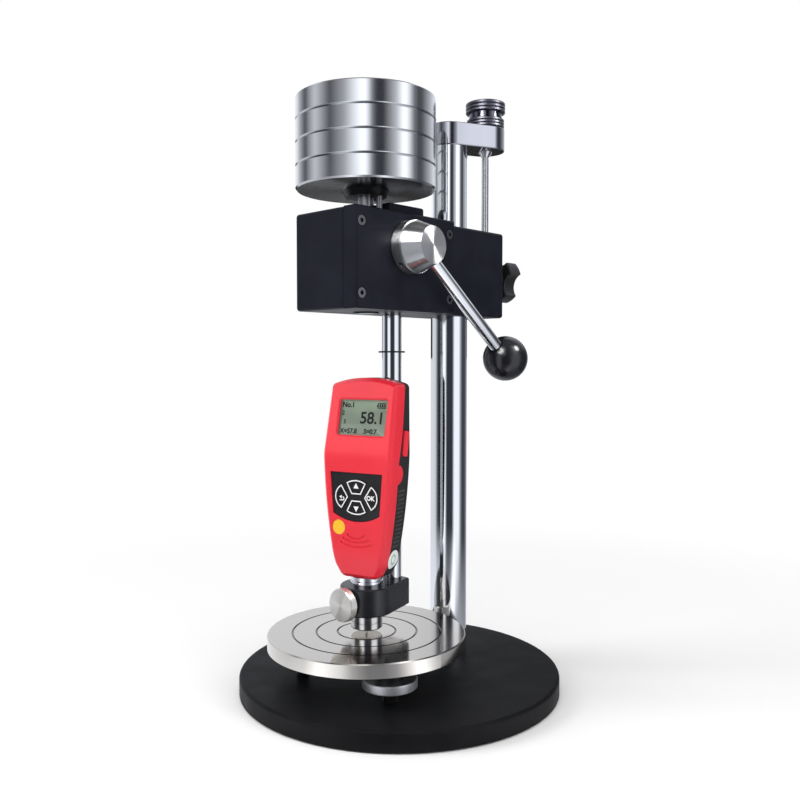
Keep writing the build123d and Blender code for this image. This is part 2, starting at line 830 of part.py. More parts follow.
# Stack of equal weights, each with broken edges
for weight_index in range(weight_count):
    weight_bottom = weights_underside + weight_thickness * weight_index
    weight_top = weight_bottom + weight_thickness
    low_break = lowest_weight_break if weight_index == 0 else weight_edge_break
    with BuildPart() as weight:
        with BuildSketch(turning_plane(0, load_y)):
            with BuildLine():
                Polyline(
                    (weight_rod_radius + free_clearance, weight_bottom),
                    (weight_diameter / 2 - low_break, weight_bottom),
                    (weight_diameter / 2, weight_bottom + low_break),
                    (weight_diameter / 2, weight_top - weight_edge_break),
                    (weight_diameter / 2 - weight_edge_break, weight_top),
                    (weight_rod_radius + free_clearance, weight_top),
                    close=True,
                )
            make_face()
        revolve(axis=upright(0, load_y))
    weight.part.label = f"weight_{weight_index + 1}"
    export_step(weight.part, f"parts/weight_{weight_index + 1}.step")

# Spindle with the groove of its retaining ring
spindle_top = head_top + cap_height - cap_roof - load_travel - free_clearance
ring_underside = head_underside - ring_drop
with BuildPart() as spindle:
    with BuildSketch(Plane.XY.offset(clamp_underside)):
        with Locations((0, spindle_y)):
            Circle(spindle_radius)
    extrude(amount=spindle_top - clamp_underside)
    with BuildSketch(Plane.XY.offset(ring_underside)):
        with Locations((0, spindle_y)):
            Circle(spindle_radius)
            Circle(spindle_radius - ring_groove_depth, mode=Mode.SUBTRACT)
    extrude(amount=ring_thickness, mode=Mode.SUBTRACT)
spindle.part.label = "spindle"
export_step(spindle.part, "parts/spindle.step")

# Retaining ring, open at the back as a spring clip is
with BuildPart() as retaining_ring:
    with BuildSketch(Plane.XY.offset(ring_underside)):
        with Locations((0, spindle_y)):
            Circle(ring_diameter / 2)
            Circle(spindle_radius - ring_groove_depth + seat_clearance, mode=Mode.SUBTRACT)
        with Locations((0, spindle_y + ring_diameter / 2)):
            Rectangle(spindle_radius, ring_diameter, mode=Mode.SUBTRACT)
    extrude(amount=ring_thickness)
retaining_ring.part.label = "retaining_ring"
export_step(retaining_ring.part, "parts/retaining_ring.step")

# Gear sizes
gear_pitch = pi * gear_module
pinion_radius = gear_module * pinion_teeth / 2
pinion_tip = pinion_radius + pinion_addendum * gear_module
pinion_root = pinion_radius - pinion_dedendum * gear_module
pinion_base = pinion_radius * cos(radians(pressure_angle))
rack_pitch_y = lever_y + pinion_radius
rack_tip_y = rack_pitch_y - rack_addendum * gear_module
rack_root_y = rack_pitch_y + rack_dedendum * gear_module
pinion_far_x = pinion_near_x + pinion_width
crosshead_low = cavity_floor + crosshead_rest_gap
crosshead_high = crosshead_low + crosshead_height
rack_top = lever_z + rack_above_axis
rack_near_x = pinion_near_x - rack_side_gap
rack_far_x = pinion_far_x + rack_side_gap / 2


def tooth_half_angle(radius):
    """Half the angle of an involute tooth at a radius."""
    at_pitch = (gear_pitch - gear_backlash) / 4 / pinion_radius
    pressure = radians(pressure_angle)
    local = acos(min(1.0, pinion_base / max(radius, pinion_base)))
    return at_pitch + (tan(pressure) - pressure) - (tan(local) - local)


# Crosshead: clamps the weight rod to the spindle and carries the rack beside them
flank_slope = tan(radians(pressure_angle))
space_tip_half = (gear_pitch + gear_backlash) / 4 + rack_addendum * gear_module * flank_slope
space_root_half = (gear_pitch + gear_backlash) / 4 - rack_dedendum * gear_module * flank_slope
rack_space_first = -int((load_travel + rack_above_axis) / gear_pitch) - 1
rack_space_last = int(rack_above_axis / gear_pitch) + 1
rack_plane = Plane(origin=(rack_near_x, rack_pitch_y, lever_z), x_dir=(0, 1, 0), z_dir=(1, 0, 0))
with BuildPart() as crosshead:
    with BuildSketch(Plane.XY.offset(crosshead_low)):
        with BuildLine():
            Polyline(
                (-crosshead_half_width, load_y - weight_rod_radius - crosshead_wall),
                (crosshead_half_width, load_y - weight_rod_radius - crosshead_wall),
                (crosshead_half_width, rack_tip_y),
                (rack_far_x, rack_tip_y),
                (rack_far_x, rack_tip_y + rack_back),
                (crosshead_half_width, rack_tip_y + rack_back),
                (crosshead_half_width, spindle_y + spindle_radius + crosshead_wall),
                (-crosshead_half_width, spindle_y + spindle_radius + crosshead_wall),
                close=True,
            )
        make_face()
    extrude(amount=crosshead_height)
    with BuildSketch(Plane.XY.offset(crosshead_high)):
        with BuildLine():
            Polyline(
                (rack_near_x, rack_tip_y),
                (rack_far_x, rack_tip_y),
                (rack_far_x, rack_tip_y + rack_back),
                (rack_near_x, rack_tip_y + rack_back),
                close=True,
            )
        make_face()
    extrude(amount=rack_top - crosshead_high)
    with BuildSketch(Plane.XY.offset(crosshead_low)):
        with Locations((0, load_y)):
            Circle(weight_rod_radius + seat_clearance)
        with Locations((0, spindle_y)):
            Circle(spindle_radius + seat_clearance)
    extrude(amount=crosshead_height, mode=Mode.SUBTRACT)
    with BuildSketch(rack_plane):
        with Locations(*[(0, gear_pitch * index) for index in range(rack_space_first, rack_space_last + 1)]):
            Polygon(
                (-rack_addendum * gear_module, -space_tip_half),
                (-rack_addendum * gear_module, space_tip_half),
                (rack_dedendum * gear_module, space_root_half),
                (rack_dedendum * gear_module, -space_root_half),
                align=None,
            )
    extrude(amount=rack_far_x - rack_near_x, mode=Mode.SUBTRACT)
crosshead.part.label = "crosshead"
export_step(crosshead.part, "parts/crosshead.step")

# Pinion cut on the end of the lever's shaft
hub_inner_x = cover_outer_x + hub_gap
hub_bore_end_x = hub_inner_x + hub_bore_depth
gear_plane = Plane(origin=(pinion_near_x, lever_y, lever_z), x_dir=(0, 1, 0), z_dir=(1, 0, 0))
tooth_radii = [pinion_base, (pinion_base + pinion_tip) / 2, pinion_tip]
tooth_flank = [(pinion_root - gear_module, tooth_half_angle(pinion_base))]
tooth_flank += [(radius, tooth_half_angle(radius)) for radius in tooth_radii]
tooth_points = [(r * cos(a), -r * sin(a)) for r, a in tooth_flank]
tooth_points += [(r * cos(a), r * sin(a)) for r, a in reversed(tooth_flank)]
with BuildPart() as pinion_shaft:
    with BuildSketch(gear_plane):
        Circle(pinion_root)
        with PolarLocations(0, pinion_teeth):
            Polygon(*tooth_points, align=None)
    extrude(amount=pinion_width)
    with BuildSketch(gear_plane):
        Circle(pinion_shaft_diameter / 2)
    extrude(amount=hub_bore_end_x - free_clearance - pinion_near_x)
pinion_shaft.part.label = "pinion_shaft"
export_step(pinion_shaft.part, "parts/pinion_shaft.step")

# Flanged bush of the lever's shaft, pressed into the cover from inside
with BuildPart() as pinion_bush:
    with BuildSketch(Plane(origin=(head_right, lever_y, lever_z), x_dir=(0, 1, 0), z_dir=(1, 0, 0))):
        Circle(pinion_bush_radius)
    extrude(amount=cover_thickness)
    with BuildSketch(Plane(origin=(head_right, lever_y, lever_z), x_dir=(0, 1, 0), z_dir=(1, 0, 0))):
        Circle(pinion_bush_radius + bush_wall)
    extrude(amount=-pinion_bush_flange)
    with BuildSketch(
        Plane(origin=(head_right - pinion_bush_flange, lever_y, lever_z), x_dir=(0, 1, 0), z_dir=(1, 0, 0))
    ):
        Circle(pinion_shaft_diameter / 2 + running_clearance)
    extrude(amount=cover_thickness + pinion_bush_flange, mode=Mode.SUBTRACT)
pinion_bush.part.label = "pinion_bush"
export_step(pinion_bush.part, "parts/pinion_bush.step")

# Lever hub: ring with set screws, then a cone; blind bore for the shaft
lever_axis = Axis((0, lever_y, lever_z), (1, 0, 0))
lever_section = Plane(origin=(0, lever_y, lever_z), x_dir=(1, 0, 0), z_dir=(0, -1, 0))
lever_x = hub_inner_x + lever_plane
hub_ring_radius = hub_ring_diameter / 2
hub_neck_x = hub_inner_x + hub_ring_width
hub_cone_x = hub_neck_x + hub_neck_width
hub_end_x = hub_inner_x + hub_length
lever_direction = Vector(0, cos(radians(lever_rest_angle)), sin(radians(lever_rest_angle)))
lever_origin = Vector(lever_x, lever_y, lever_z)
lever_foot_plane = Plane(
    origin=lever_origin + lever_direction * lever_rod_root, x_dir=(1, 0, 0), z_dir=lever_direction
)
hub_screw_angles = (135.0, 225.0)
with BuildPart() as lever_hub:
    with BuildSketch(lever_section):
        with BuildLine():
            Polyline(
                (hub_inner_x, pinion_shaft_diameter / 2 + seat_clearance),
                (hub_inner_x, hub_ring_radius),
                (hub_neck_x, hub_ring_radius),
                (hub_neck_x, hub_ring_radius - hub_neck_drop),
                (hub_cone_x, hub_ring_radius - hub_neck_drop),
                (hub_end_x, hub_face_diameter / 2),
                (hub_end_x, 0),
                (hub_bore_end_x, 0),
                (hub_bore_end_x, pinion_shaft_diameter / 2 + seat_clearance),
                close=True,
            )
        make_face()
    revolve(axis=lever_axis)
    with BuildSketch(lever_foot_plane):
        Circle(lever_rod_diameter / 2 + seat_clearance)
    extrude(amount=hub_ring_diameter, mode=Mode.SUBTRACT)
    for hub_screw_angle in hub_screw_angles:
        screw_direction = Vector(0, cos(radians(hub_screw_angle)), sin(radians(hub_screw_angle)))
        screw_origin = Vector(hub_inner_x + hub_ring_width / 2, lever_y, lever_z)
        with BuildSketch(Plane(origin=screw_origin, x_dir=(1, 0, 0), z_dir=screw_direction)):
            Circle(hub_screw_diameter / 2 + seat_clearance)
        extrude(amount=hub_ring_diameter, mode=Mode.SUBTRACT)
lever_hub.part.label = "lever_hub"
export_step(lever_hub.part, "parts/lever_hub.step")

# Two set screws that lock the hub on the shaft
with BuildPart() as hub_set_screws:
    for hub_screw_angle in hub_screw_angles:
        screw_direction = Vector(0, cos(radians(hub_screw_angle)), sin(radians(hub_screw_angle)))
        screw_origin = Vector(hub_inner_x + hub_ring_width / 2, lever_y, lever_z)
        screw_start = screw_origin + screw_direction * (pinion_shaft_diameter / 2 + free_clearance)
        with BuildSketch(Plane(origin=screw_start, x_dir=(1, 0, 0), z_dir=screw_direction)):
            Circle(hub_screw_diameter / 2)
        extrude(amount=hub_ring_radius - hub_screw_sink - pinion_shaft_diameter / 2 - free_clearance)
hub_set_screws.part.label = "hub_set_screws"
export_step(hub_set_screws.part, "parts/hub_set_screws.step")

# Lever rod
ball_near = lever_reach - lever_ball_diameter / 2
with BuildPart() as lever_rod:
    with BuildSketch(lever_foot_plane):
        Circle(lever_rod_diameter / 2)
    extrude(amount=ball_near + lever_ball_grip - lever_rod_root)
lever_rod.part.label = "lever_rod"
export_step(lever_rod.part, "parts/lever_rod.step")

# Lever ball with a flat where the rod goes in
ball_centre = lever_origin + lever_direction * lever_reach
ball_mouth = Plane(origin=lever_origin + lever_direction * ball_near, x_dir=(1, 0, 0), z_dir=lever_direction)
with BuildPart() as lever_ball:
    with Locations(ball_centre):
        Sphere(lever_ball_diameter / 2)
    with BuildSketch(ball_mouth):
        Circle(lever_ball_diameter / 2)
    extrude(amount=lever_ball_flat, mode=Mode.SUBTRACT)
    with BuildSketch(ball_mouth):
        Circle(lever_rod_diameter / 2 + seat_clearance)
    extrude(amount=lever_ball_grip + free_clearance, mode=Mode.SUBTRACT)
lever_ball.part.label = "lever_ball"
export_step(lever_ball.part, "parts/lever_ball.step")

# Brass pad that grips the column, hollowed to its radius
with BuildPart() as clamp_pad:
    with BuildSketch(Plane(origin=(0, column_setback, clamp_axis_z), x_dir=(-1, 0, 0), z_dir=(0, 1, 0))):
        Circle(clamp_pad_diameter / 2)
    extrude(amount=column_radius + clamp_pad_length - seat_clearance)
    with BuildSketch(Plane.XY.offset(clamp_axis_z - clamp_pad_diameter)):
        with Locations((0, column_setback)):
            Circle(column_radius + running_clearance)
    extrude(amount=2 * clamp_pad_diameter, mode=Mode.SUBTRACT)
clamp_pad.part.label = "clamp_pad"
export_step(clamp_pad.part, "parts/clamp_pad.step")

# Clamp stud, from the pad into the star knob
star_front_y = head_back_y + star_gap
star_rim_y = star_front_y + star_hub_length
star_back_y = star_rim_y + star_thickness
stud_front_y = column_rear_y + clamp_pad_length + running_clearance
with BuildPart() as clamp_stud:
    with BuildSketch(Plane(origin=(0, stud_front_y, clamp_axis_z), x_dir=(-1, 0, 0), z_dir=(0, 1, 0))):
        Circle(clamp_stud_diameter / 2)
    extrude(amount=star_front_y + clamp_stud_in_knob - stud_front_y)
clamp_stud.part.label = "clamp_stud"
export_step(clamp_stud.part, "parts/clamp_stud.step")

# Star knob: hub, then a lobed head
star_plane = Plane(origin=(0, star_front_y, clamp_axis_z), x_dir=(-1, 0, 0), z_dir=(0, 1, 0))
star_valley_circle = star_diameter / 2 + star_valley_radius - star_valley_depth
with BuildPart() as clamp_knob:
    with BuildSketch(star_plane.offset(star_hub_length)):
        Circle(star_diameter / 2)
        with PolarLocations(star_valley_circle, star_lobes, star_first_valley):
            Circle(star_valley_radius, mode=Mode.SUBTRACT)
    extrude(amount=star_thickness)
    fillet(clamp_knob.faces().sort_by(Axis.Y)[-1].edges(), star_edge_round)
    fillet(clamp_knob.faces().sort_by(Axis.Y)[0].edges(), star_edge_round)
    with BuildSketch(star_plane):
        Circle(star_hub_diameter / 2)
    extrude(amount=star_hub_length)
    with BuildSketch(star_plane):
        Circle(clamp_stud_diameter / 2 + seat_clearance)
    extrude(amount=clamp_stud_in_knob + free_clearance, mode=Mode.SUBTRACT)
clamp_knob.part.label = "clamp_knob"
export_step(clamp_knob.part, "parts/clamp_knob.step")

# Clamp arm: boss round the gauge's barrel, tapering to a squared end behind the spindle
thumb_z = clamp_underside + thumb_screw_height
clamp_tail_y = spindle_y + clamp_tail_length
boss_front_y = load_y - clamp_boss_radius
thumb_front_y = boss_front_y - thumb_head_gap - thumb_head_thickness
with BuildPart() as clamp_arm:
    with BuildSketch(Plane.XY.offset(clamp_underside)):
        with BuildLine():
            CenterArc((0, load_y), clamp_boss_radius, 0, 360)
            Line((-clamp_tail_width / 2, clamp_tail_y), (clamp_tail_width / 2, clamp_tail_y))
        make_hull()
    extrude(amount=clamp_height)
    chamfer(clamp_arm.edges().group_by(Axis.Z)[-1], clamp_edge_break)
    chamfer(clamp_arm.edges().group_by(Axis.Z)[0], clamp_edge_break)
    with BuildSketch(Plane.XY.offset(clamp_underside)):
        with Locations((0, load_y)):
            Circle(barrel_radius + running_clearance)
        with Locations((0, spindle_y)):
            Circle(spindle_radius + seat_clearance)
    extrude(amount=clamp_height, mode=Mode.SUBTRACT)
    with BuildSketch(Plane(origin=(0, boss_front_y, thumb_z), x_dir=(1, 0, 0), z_dir=(0, -1, 0))):
        Circle(thumb_shank_diameter / 2 + running_clearance)
    extrude(amount=-clamp_boss_radius, mode=Mode.SUBTRACT)
    with BuildSketch(Plane(origin=(0, clamp_tail_y, thumb_z), x_dir=(-1, 0, 0), z_dir=(0, 1, 0))):
        Circle(grub_diameter / 2 + seat_clearance)
    extrude(amount=-clamp_tail_length, mode=Mode.SUBTRACT)
clamp_arm.part.label = "clamp_arm"
export_step(clamp_arm.part, "parts/clamp_arm.step")

# Grub screw that locks the arm on the spindle
grub_front_y = spindle_y + spindle_radius + seat_clearance
with BuildPart() as arm_grub_screw:
    with BuildSketch(Plane(origin=(0, clamp_tail_y, thumb_z), x_dir=(-1, 0, 0), z_dir=(0, 1, 0))):
        Circle(grub_diameter / 2)
    extrude(amount=-(clamp_tail_y - grub_front_y))
    with BuildSketch(Plane.XY.offset(thumb_z - grub_diameter)):
        with Locations((0, spindle_y)):
            Circle(spindle_radius + seat_clearance)
    extrude(amount=2 * grub_diameter, mode=Mode.SUBTRACT)
arm_grub_screw.part.label = "arm_grub_screw"
export_step(arm_grub_screw.part, "parts/arm_grub_screw.step")

# Thumb screw that clamps the barrel
thumb_tip_y = load_y - barrel_radius - running_clearance
thumb_plane = Plane(origin=(0, thumb_front_y, thumb_z), x_dir=(1, 0, 0), z_dir=(0, -1, 0))
with BuildPart() as thumb_screw:
    with BuildSketch(thumb_plane):
        Circle(thumb_head_diameter / 2)
    extrude(amount=-thumb_head_thickness)
    chamfer(thumb_screw.edges(), thumb_head_break)
    with BuildSketch(thumb_plane):
        Circle(thumb_shank_diameter / 2)
    extrude(amount=-(thumb_tip_y - thumb_front_y))
thumb_screw.part.label = "thumb_screw"
export_step(thumb_screw.part, "parts/thumb_screw.step")

# Barrel of the gauge: collar on the clamp arm, flange and spigot for the housing, tail for the foot
foot_floor_top = foot_underside + foot_floor
spring_seat = housing_bottom - spring_top_wall
foot_radius = foot_diameter / 2
barrel_groove_low = clamp_top + barrel_collar_height
barrel_groove_top = barrel_groove_low + barrel_groove_height
with BuildPart() as barrel:
    with BuildSketch(turning_plane(0, load_y)):
        with BuildLine():
            Polyline(
                (barrel_bore_diameter / 2, foot_floor_top),
                (barrel_tail_diameter / 2, foot_floor_top),
                (barrel_tail_diameter / 2, clamp_underside),
                (barrel_radius, clamp_underside),
                (barrel_radius, clamp_top),
                (barrel_collar_diameter / 2, clamp_top),
                (barrel_collar_diameter / 2, barrel_groove_low),
                (barrel_groove_diameter / 2, barrel_groove_low),
                (barrel_groove_diameter / 2, barrel_groove_top),
                (barrel_flange_diameter / 2, barrel_groove_top),
                (barrel_flange_diameter / 2, housing_bottom),
                (barrel_spigot_diameter / 2, housing_bottom),
                (barrel_spigot_diameter / 2, housing_bottom + barrel_spigot_height),
                (0, housing_bottom + barrel_spigot_height),
                (0, spring_seat),
                (barrel_bore_diameter / 2, spring_seat),
                close=True,
            )
        make_face()
    revolve(axis=upright(0, load_y))
barrel.part.label = "barrel"
export_step(barrel.part, "parts/barrel.step")

# Presser foot screwed on the barrel's tail
with BuildPart() as presser_foot:
    with BuildSketch(turning_plane(0, load_y)):
        with BuildLine():
            Polyline(
                (indenter_hole_radius, foot_underside),
                (foot_radius - foot_edge_break, foot_underside),
                (foot_radius, foot_underside + foot_edge_break),
                (foot_radius, clamp_underside),
                (barrel_tail_diameter / 2 + seat_clearance, clamp_underside),
                (barrel_tail_diameter / 2 + seat_clearance, foot_floor_top),
                (indenter_hole_radius, foot_floor_top),
                close=True,
            )
        make_face()
    revolve(axis=upright(0, load_y))
presser_foot.part.label = "presser_foot"
export_step(presser_foot.part, "parts/presser_foot.step")

# Indenter on its plunger, resting on the foot's floor
indenter_tip = foot_underside - indenter_reach
plunger_radius = barrel_bore_diameter / 2 - running_clearance
plunger_top = foot_floor_top + plunger_length
with BuildPart() as indenter:
    with BuildSketch(turning_plane(0, load_y)):
        with BuildLine():
            Polyline(
                (0, indenter_tip),
                (indenter_tip_radius, indenter_tip),
                (indenter_shaft_radius, indenter_tip + indenter_cone),
                (indenter_shaft_radius, foot_underside),
                (indenter_guide_radius, foot_underside + indenter_cone),
                (indenter_guide_radius, foot_floor_top),
                (plunger_radius, foot_floor_top),
                (plunger_radius, plunger_top),
                (0, plunger_top),
                close=True,
            )
        make_face()
    revolve(axis=upright(0, load_y))
indenter.part.label = "indenter"
export_step(indenter.part, "parts/indenter.step")

# Indenter spring, kept as a plain sleeve because the barrel hides it
with BuildPart() as indenter_spring:
    with BuildSketch(Plane.XY.offset(plunger_top)):
        with Locations((0, load_y)):
            Circle(plunger_radius - free_clearance)
            Circle(plunger_radius - free_clearance - spring_wall, mode=Mode.SUBTRACT)
    extrude(amount=spring_seat - plunger_top)
indenter_spring.part.label = "indenter_spring"
export_step(indenter_spring.part, "parts/indenter_spring.step")

# Planes of the gauge, which is turned about the barrel towards the lever's side
gauge_x = Vector(cos(radians(gauge_turn)), sin(radians(gauge_turn)), 0)
gauge_y = Vector(-sin(radians(gauge_turn)), cos(radians(gauge_turn)), 0)
gauge_origin = Vector(0, load_y, housing_bottom)
gauge_front = Plane(origin=gauge_origin, x_dir=gauge_x, z_dir=-gauge_y)
gauge_side = Plane(origin=gauge_origin, x_dir=gauge_y, z_dir=gauge_x)
deck_rise = housing_length - housing_deck_height
deck_lean = atan2(housing_front - housing_top_front, deck_rise)
deck_y = -housing_front + (display_height - housing_deck_height) * tan(deck_lean)
deck_normal = -gauge_y * cos(deck_lean) + Vector(0, 0, 1) * sin(deck_lean)
deck_middle = gauge_origin + gauge_x * display_aside + gauge_y * deck_y + Vector(0, 0, display_height)
deck_plane = Plane(origin=deck_middle, x_dir=gauge_x, z_dir=deck_normal)
housing_margin = 2 * housing_half


def housing_outline(inset):
    """Front view of the housing, drawn in by an inset."""
    with BuildSketch(mode=Mode.PRIVATE) as outline:
        with BuildLine():
            Line((-housing_bottom_half, 0), (housing_bottom_half, 0))
            Line((housing_bottom_half, 0), (housing_chin_half, housing_chin_height))
            ThreePointArc(
                (housing_chin_half, housing_chin_height),
                (housing_grip_half, grip_height),
                (housing_half, housing_deck_height),
            )
            Line((housing_half, housing_deck_height), (housing_shoulder_half, shoulder_height))
            ThreePointArc(
                (housing_shoulder_half, shoulder_height),
                (0, housing_length),
                (-housing_shoulder_half, shoulder_height),
            )
            Line((-housing_shoulder_half, shoulder_height), (-housing_half, housing_deck_height))
            ThreePointArc(
                (-housing_half, housing_deck_height),
                (-housing_grip_half, grip_height),
                (-housing_chin_half, housing_chin_height),
            )
            Line((-housing_chin_half, housing_chin_height), (-housing_bottom_half, 0))
        make_face()
        fillet(outline.vertices().group_by(Axis.Y)[-1], housing_crown_round)
        fillet(outline.vertices().group_by(Axis.Y)[1], housing_chin_round)
        fillet(outline.vertices().group_by(Axis.Y)[0], housing_foot_round)
        if inset > 0:
            offset(amount=-inset, mode=Mode.REPLACE)
    return outline.sketch


def housing_profile(inset):
    """Side view of the housing, drawn in by an inset."""
    with BuildSketch(mode=Mode.PRIVATE) as profile:
        with BuildLine():
            Polyline(
                (-housing_chin_front, 0),
                (-housing_front, housing_chin_front_height),
                (-housing_front, housing_deck_height),
                (-housing_top_front + housing_wall * tan(deck_lean), housing_length + housing_wall),
                (housing_top_back, housing_length + housing_wall),
                (housing_bottom_back, 0),
                close=True,
            )
        make_face()
        chin = profile.vertices().sort_by_distance((-housing_front, housing_chin_front_height))[0]
        fillet(chin, housing_chin_bend)
        deck_edge = profile.vertices().sort_by_distance((-housing_front, housing_deck_height))[0]
        fillet(deck_edge, housing_deck_bend)
        if inset > 0:
            offset(amount=-inset, kind=Kind.INTERSECTION, mode=Mode.REPLACE)
    return profile.sketch


def parting_region():
    """Side view of everything in front of the parting line of the two shells."""
    bump_low = parting_bump_height - parting_bump_radius
    bump_high = parting_bump_height + parting_bump_radius
    with BuildSketch(mode=Mode.PRIVATE) as region:
        with BuildLine():
            Line((parting_bottom, -housing_wall), (parting_waist, bump_low))
            ThreePointArc(
                (parting_waist, bump_low),
                (parting_waist + parting_bump_radius, parting_bump_height),
                (parting_waist, bump_high),
            )
            Polyline(
                (parting_waist, bump_high),
                (parting_shoulder, parting_shoulder_height),
                (parting_top, housing_length + housing_wall),
                (-housing_margin, housing_length + housing_wall),
                (-housing_margin, -housing_wall),
                (parting_bottom, -housing_wall),
            )
        make_face()
    return region.sketch


shell_posts = [
    (screw_high_aside, screw_high_height),
    (-screw_high_aside, screw_high_height),
    (screw_low_aside, screw_low_height),
    (-screw_low_aside, screw_low_height),
]
board_front_y = -board_front
board_back_y = board_front_y + board_thickness

# Key panel outline and key shapes, drawn about the middle of the keys
panel_top = key_panel_top - key_centre_height
panel_low = key_panel_low - key_centre_height
panel_sag = key_panel_sag - key_centre_height


def key_panel_shape(grow):
    """Shield-shaped outline of the key panel, grown by a margin."""
    with BuildSketch(mode=Mode.PRIVATE) as shape:
        with BuildLine():
            Polyline(
                (-key_panel_low_half, panel_low),
                (-key_panel_top_half, panel_top),
                (key_panel_top_half, panel_top),
                (key_panel_low_half, panel_low),
            )
            ThreePointArc((key_panel_low_half, panel_low), (0, panel_sag), (-key_panel_low_half, panel_low))
        make_face()
        if grow != 0:
            offset(amount=grow, kind=Kind.INTERSECTION, mode=Mode.REPLACE)
    return shape.sketch


def key_shape(name, grow):
    """Outline of one key: up and down are fans, left and right are half-moons."""
    with BuildSketch(mode=Mode.PRIVATE) as shape:
        with BuildLine():
            if name in ("up", "down"):
                way = 1 if name == "up" else -1
                outer = way * (key_rise + key_rise_half_height - key_rise_crest)
                crest = way * (key_rise + key_rise_half_height)
                inner = way * (key_rise - key_rise_half_height)
                ThreePointArc((-key_rise_outer_half, outer), (0, crest), (key_rise_outer_half, outer))
                Polyline(
                    (key_rise_outer_half, outer),
                    (key_rise_inner_half, inner),
                    (-key_rise_inner_half, inner),
                    (-key_rise_outer_half, outer),
                )
            else:
                way = 1 if name == "right" else -1
                middle = way * key_spread
                ThreePointArc(
                    (middle, key_spread_half_height),
                    (middle + way * key_spread_half_width, 0),
                    (middle, -key_spread_half_height),
                )
                Polyline(
                    (middle, -key_spread_half_height),
                    (middle - way * key_spread_half_width, 0),
                    (middle, key_spread_half_height),
                )
        make_face()
        if grow != 0:
            offset(amount=grow, kind=Kind.INTERSECTION, mode=Mode.REPLACE)
    return shape.sketch


key_names = ("up", "down", "left", "right")
key_middle = gauge_origin - gauge_y * housing_front + Vector(0, 0, key_centre_height)
key_face = Plane(origin=key_middle, x_dir=gauge_x, z_dir=-gauge_y)
key_panel_face = key_face.offset(-key_panel_recess)


def looks_along(face, direction):
    """True for a face that looks more one way than across it."""
    return face.normal_at().dot(direction) > cos(pi / 4)


def is_crease(edge):
    """True for a straight edge that runs across the housing."""
    return edge.geom_type == GeomType.LINE and abs(edge.tangent_at(0).dot(gauge_x)) > cos(pi / 4)


def rim_edges(solid, direction):
    """Edges round the faces that look one way, without the straight creases across them."""
    looking = solid.faces().filter_by(lambda face: looks_along(face, direction))
    return looking.edges().filter_by(lambda edge: not is_crease(edge))


# Whole housing, before it is parted into two shells
with BuildPart() as housing:
    with BuildSketch(gauge_front):
        add(housing_outline(0))
    extrude(amount=housing_margin, both=True)
    with BuildSketch(gauge_side):
        add(housing_profile(0))
    extrude(amount=housing_margin, both=True, mode=Mode.INTERSECT)
    chamfer(rim_edges(housing, -gauge_y), housing_front_bevel)
    fillet(rim_edges(housing, -gauge_y), housing_bevel_soft)
    fillet(rim_edges(housing, gauge_y), housing_back_round)

# Room inside the housing, bevelled so that the wall keeps its thickness
room_bevel = housing_front_bevel - housing_wall * (2 - sqrt(2))
with BuildPart() as housing_room:
    with BuildSketch(gauge_front):
        add(housing_outline(housing_wall))
    extrude(amount=housing_margin, both=True)
    with BuildSketch(gauge_side):
        add(housing_profile(housing_wall))
    extrude(amount=housing_margin, both=True, mode=Mode.INTERSECT)
    chamfer(rim_edges(housing_room, -gauge_y), room_bevel)

# Front shell: moulded red half with the display opening, key opening, grooves and screw posts
window_width = display_width + 2 * window_lap
window_tall = display_tall + 2 * window_lap
bezel_width = display_width + 2 * display_bevel
bezel_tall = display_tall + 2 * display_bevel
with BuildPart() as front_shell:
    add(housing.part)
    add(housing_room.part, mode=Mode.SUBTRACT)
    with BuildSketch(gauge_side):
        add(parting_region())
    extrude(amount=housing_margin, both=True, mode=Mode.INTERSECT)
    with BuildSketch(gauge_front.offset(board_front)):
        with Locations(*shell_posts):
            Circle(post_radius)
            Circle(shell_screw_diameter / 2 + seat_clearance, mode=Mode.SUBTRACT)
    extrude(amount=housing_front - housing_wall / 2 - board_front)
    with BuildSketch(Plane.XY.offset(housing_bottom)):
        with Locations((0, load_y)):
            Circle(barrel_spigot_diameter / 2 + seat_clearance)
    extrude(amount=housing_wall + free_clearance, mode=Mode.SUBTRACT)
    with BuildSketch(deck_plane):
        RectangleRounded(display_width, display_tall, display_corner)
    extrude(amount=-2 * housing_wall, mode=Mode.SUBTRACT)
    with BuildSketch(deck_plane.offset(-window_seat)):
        RectangleRounded(window_width + 2 * seat_clearance, window_tall + 2 * seat_clearance, display_corner)
    extrude(amount=-2 * housing_wall, mode=Mode.SUBTRACT)
    with BuildSketch(deck_plane):
        RectangleRounded(bezel_width, bezel_tall, display_corner + display_bevel)
    with BuildSketch(deck_plane.offset(-display_bevel_depth)):
        RectangleRounded(display_width, display_tall, display_corner)
    loft(mode=Mode.SUBTRACT)
    with BuildSketch(key_face):
        add(key_panel_shape(0))
    extrude(amount=-2 * housing_wall, mode=Mode.SUBTRACT)
    with BuildSketch(gauge_front.offset(housing_front)):
        with Locations((-mark_aside, mark_height)):
            Circle(mark_diameter / 2)
    extrude(amount=-mark_depth, mode=Mode.SUBTRACT)
    with BuildSketch(gauge_front.offset(housing_front)):
        for groove_height, groove_half in zip(groove_heights, groove_half_widths):
            SlotArc(
                Edge.make_three_point_arc(
                    (-groove_half, groove_height + groove_sag),
                    (0, groove_height),
                    (groove_half, groove_height + groove_sag),
                ),
                groove_width,
            )
    extrude(amount=-groove_depth, mode=Mode.SUBTRACT)
front_shell.part.label = "front_shell"
export_step(front_shell.part, "parts/front_shell.step")

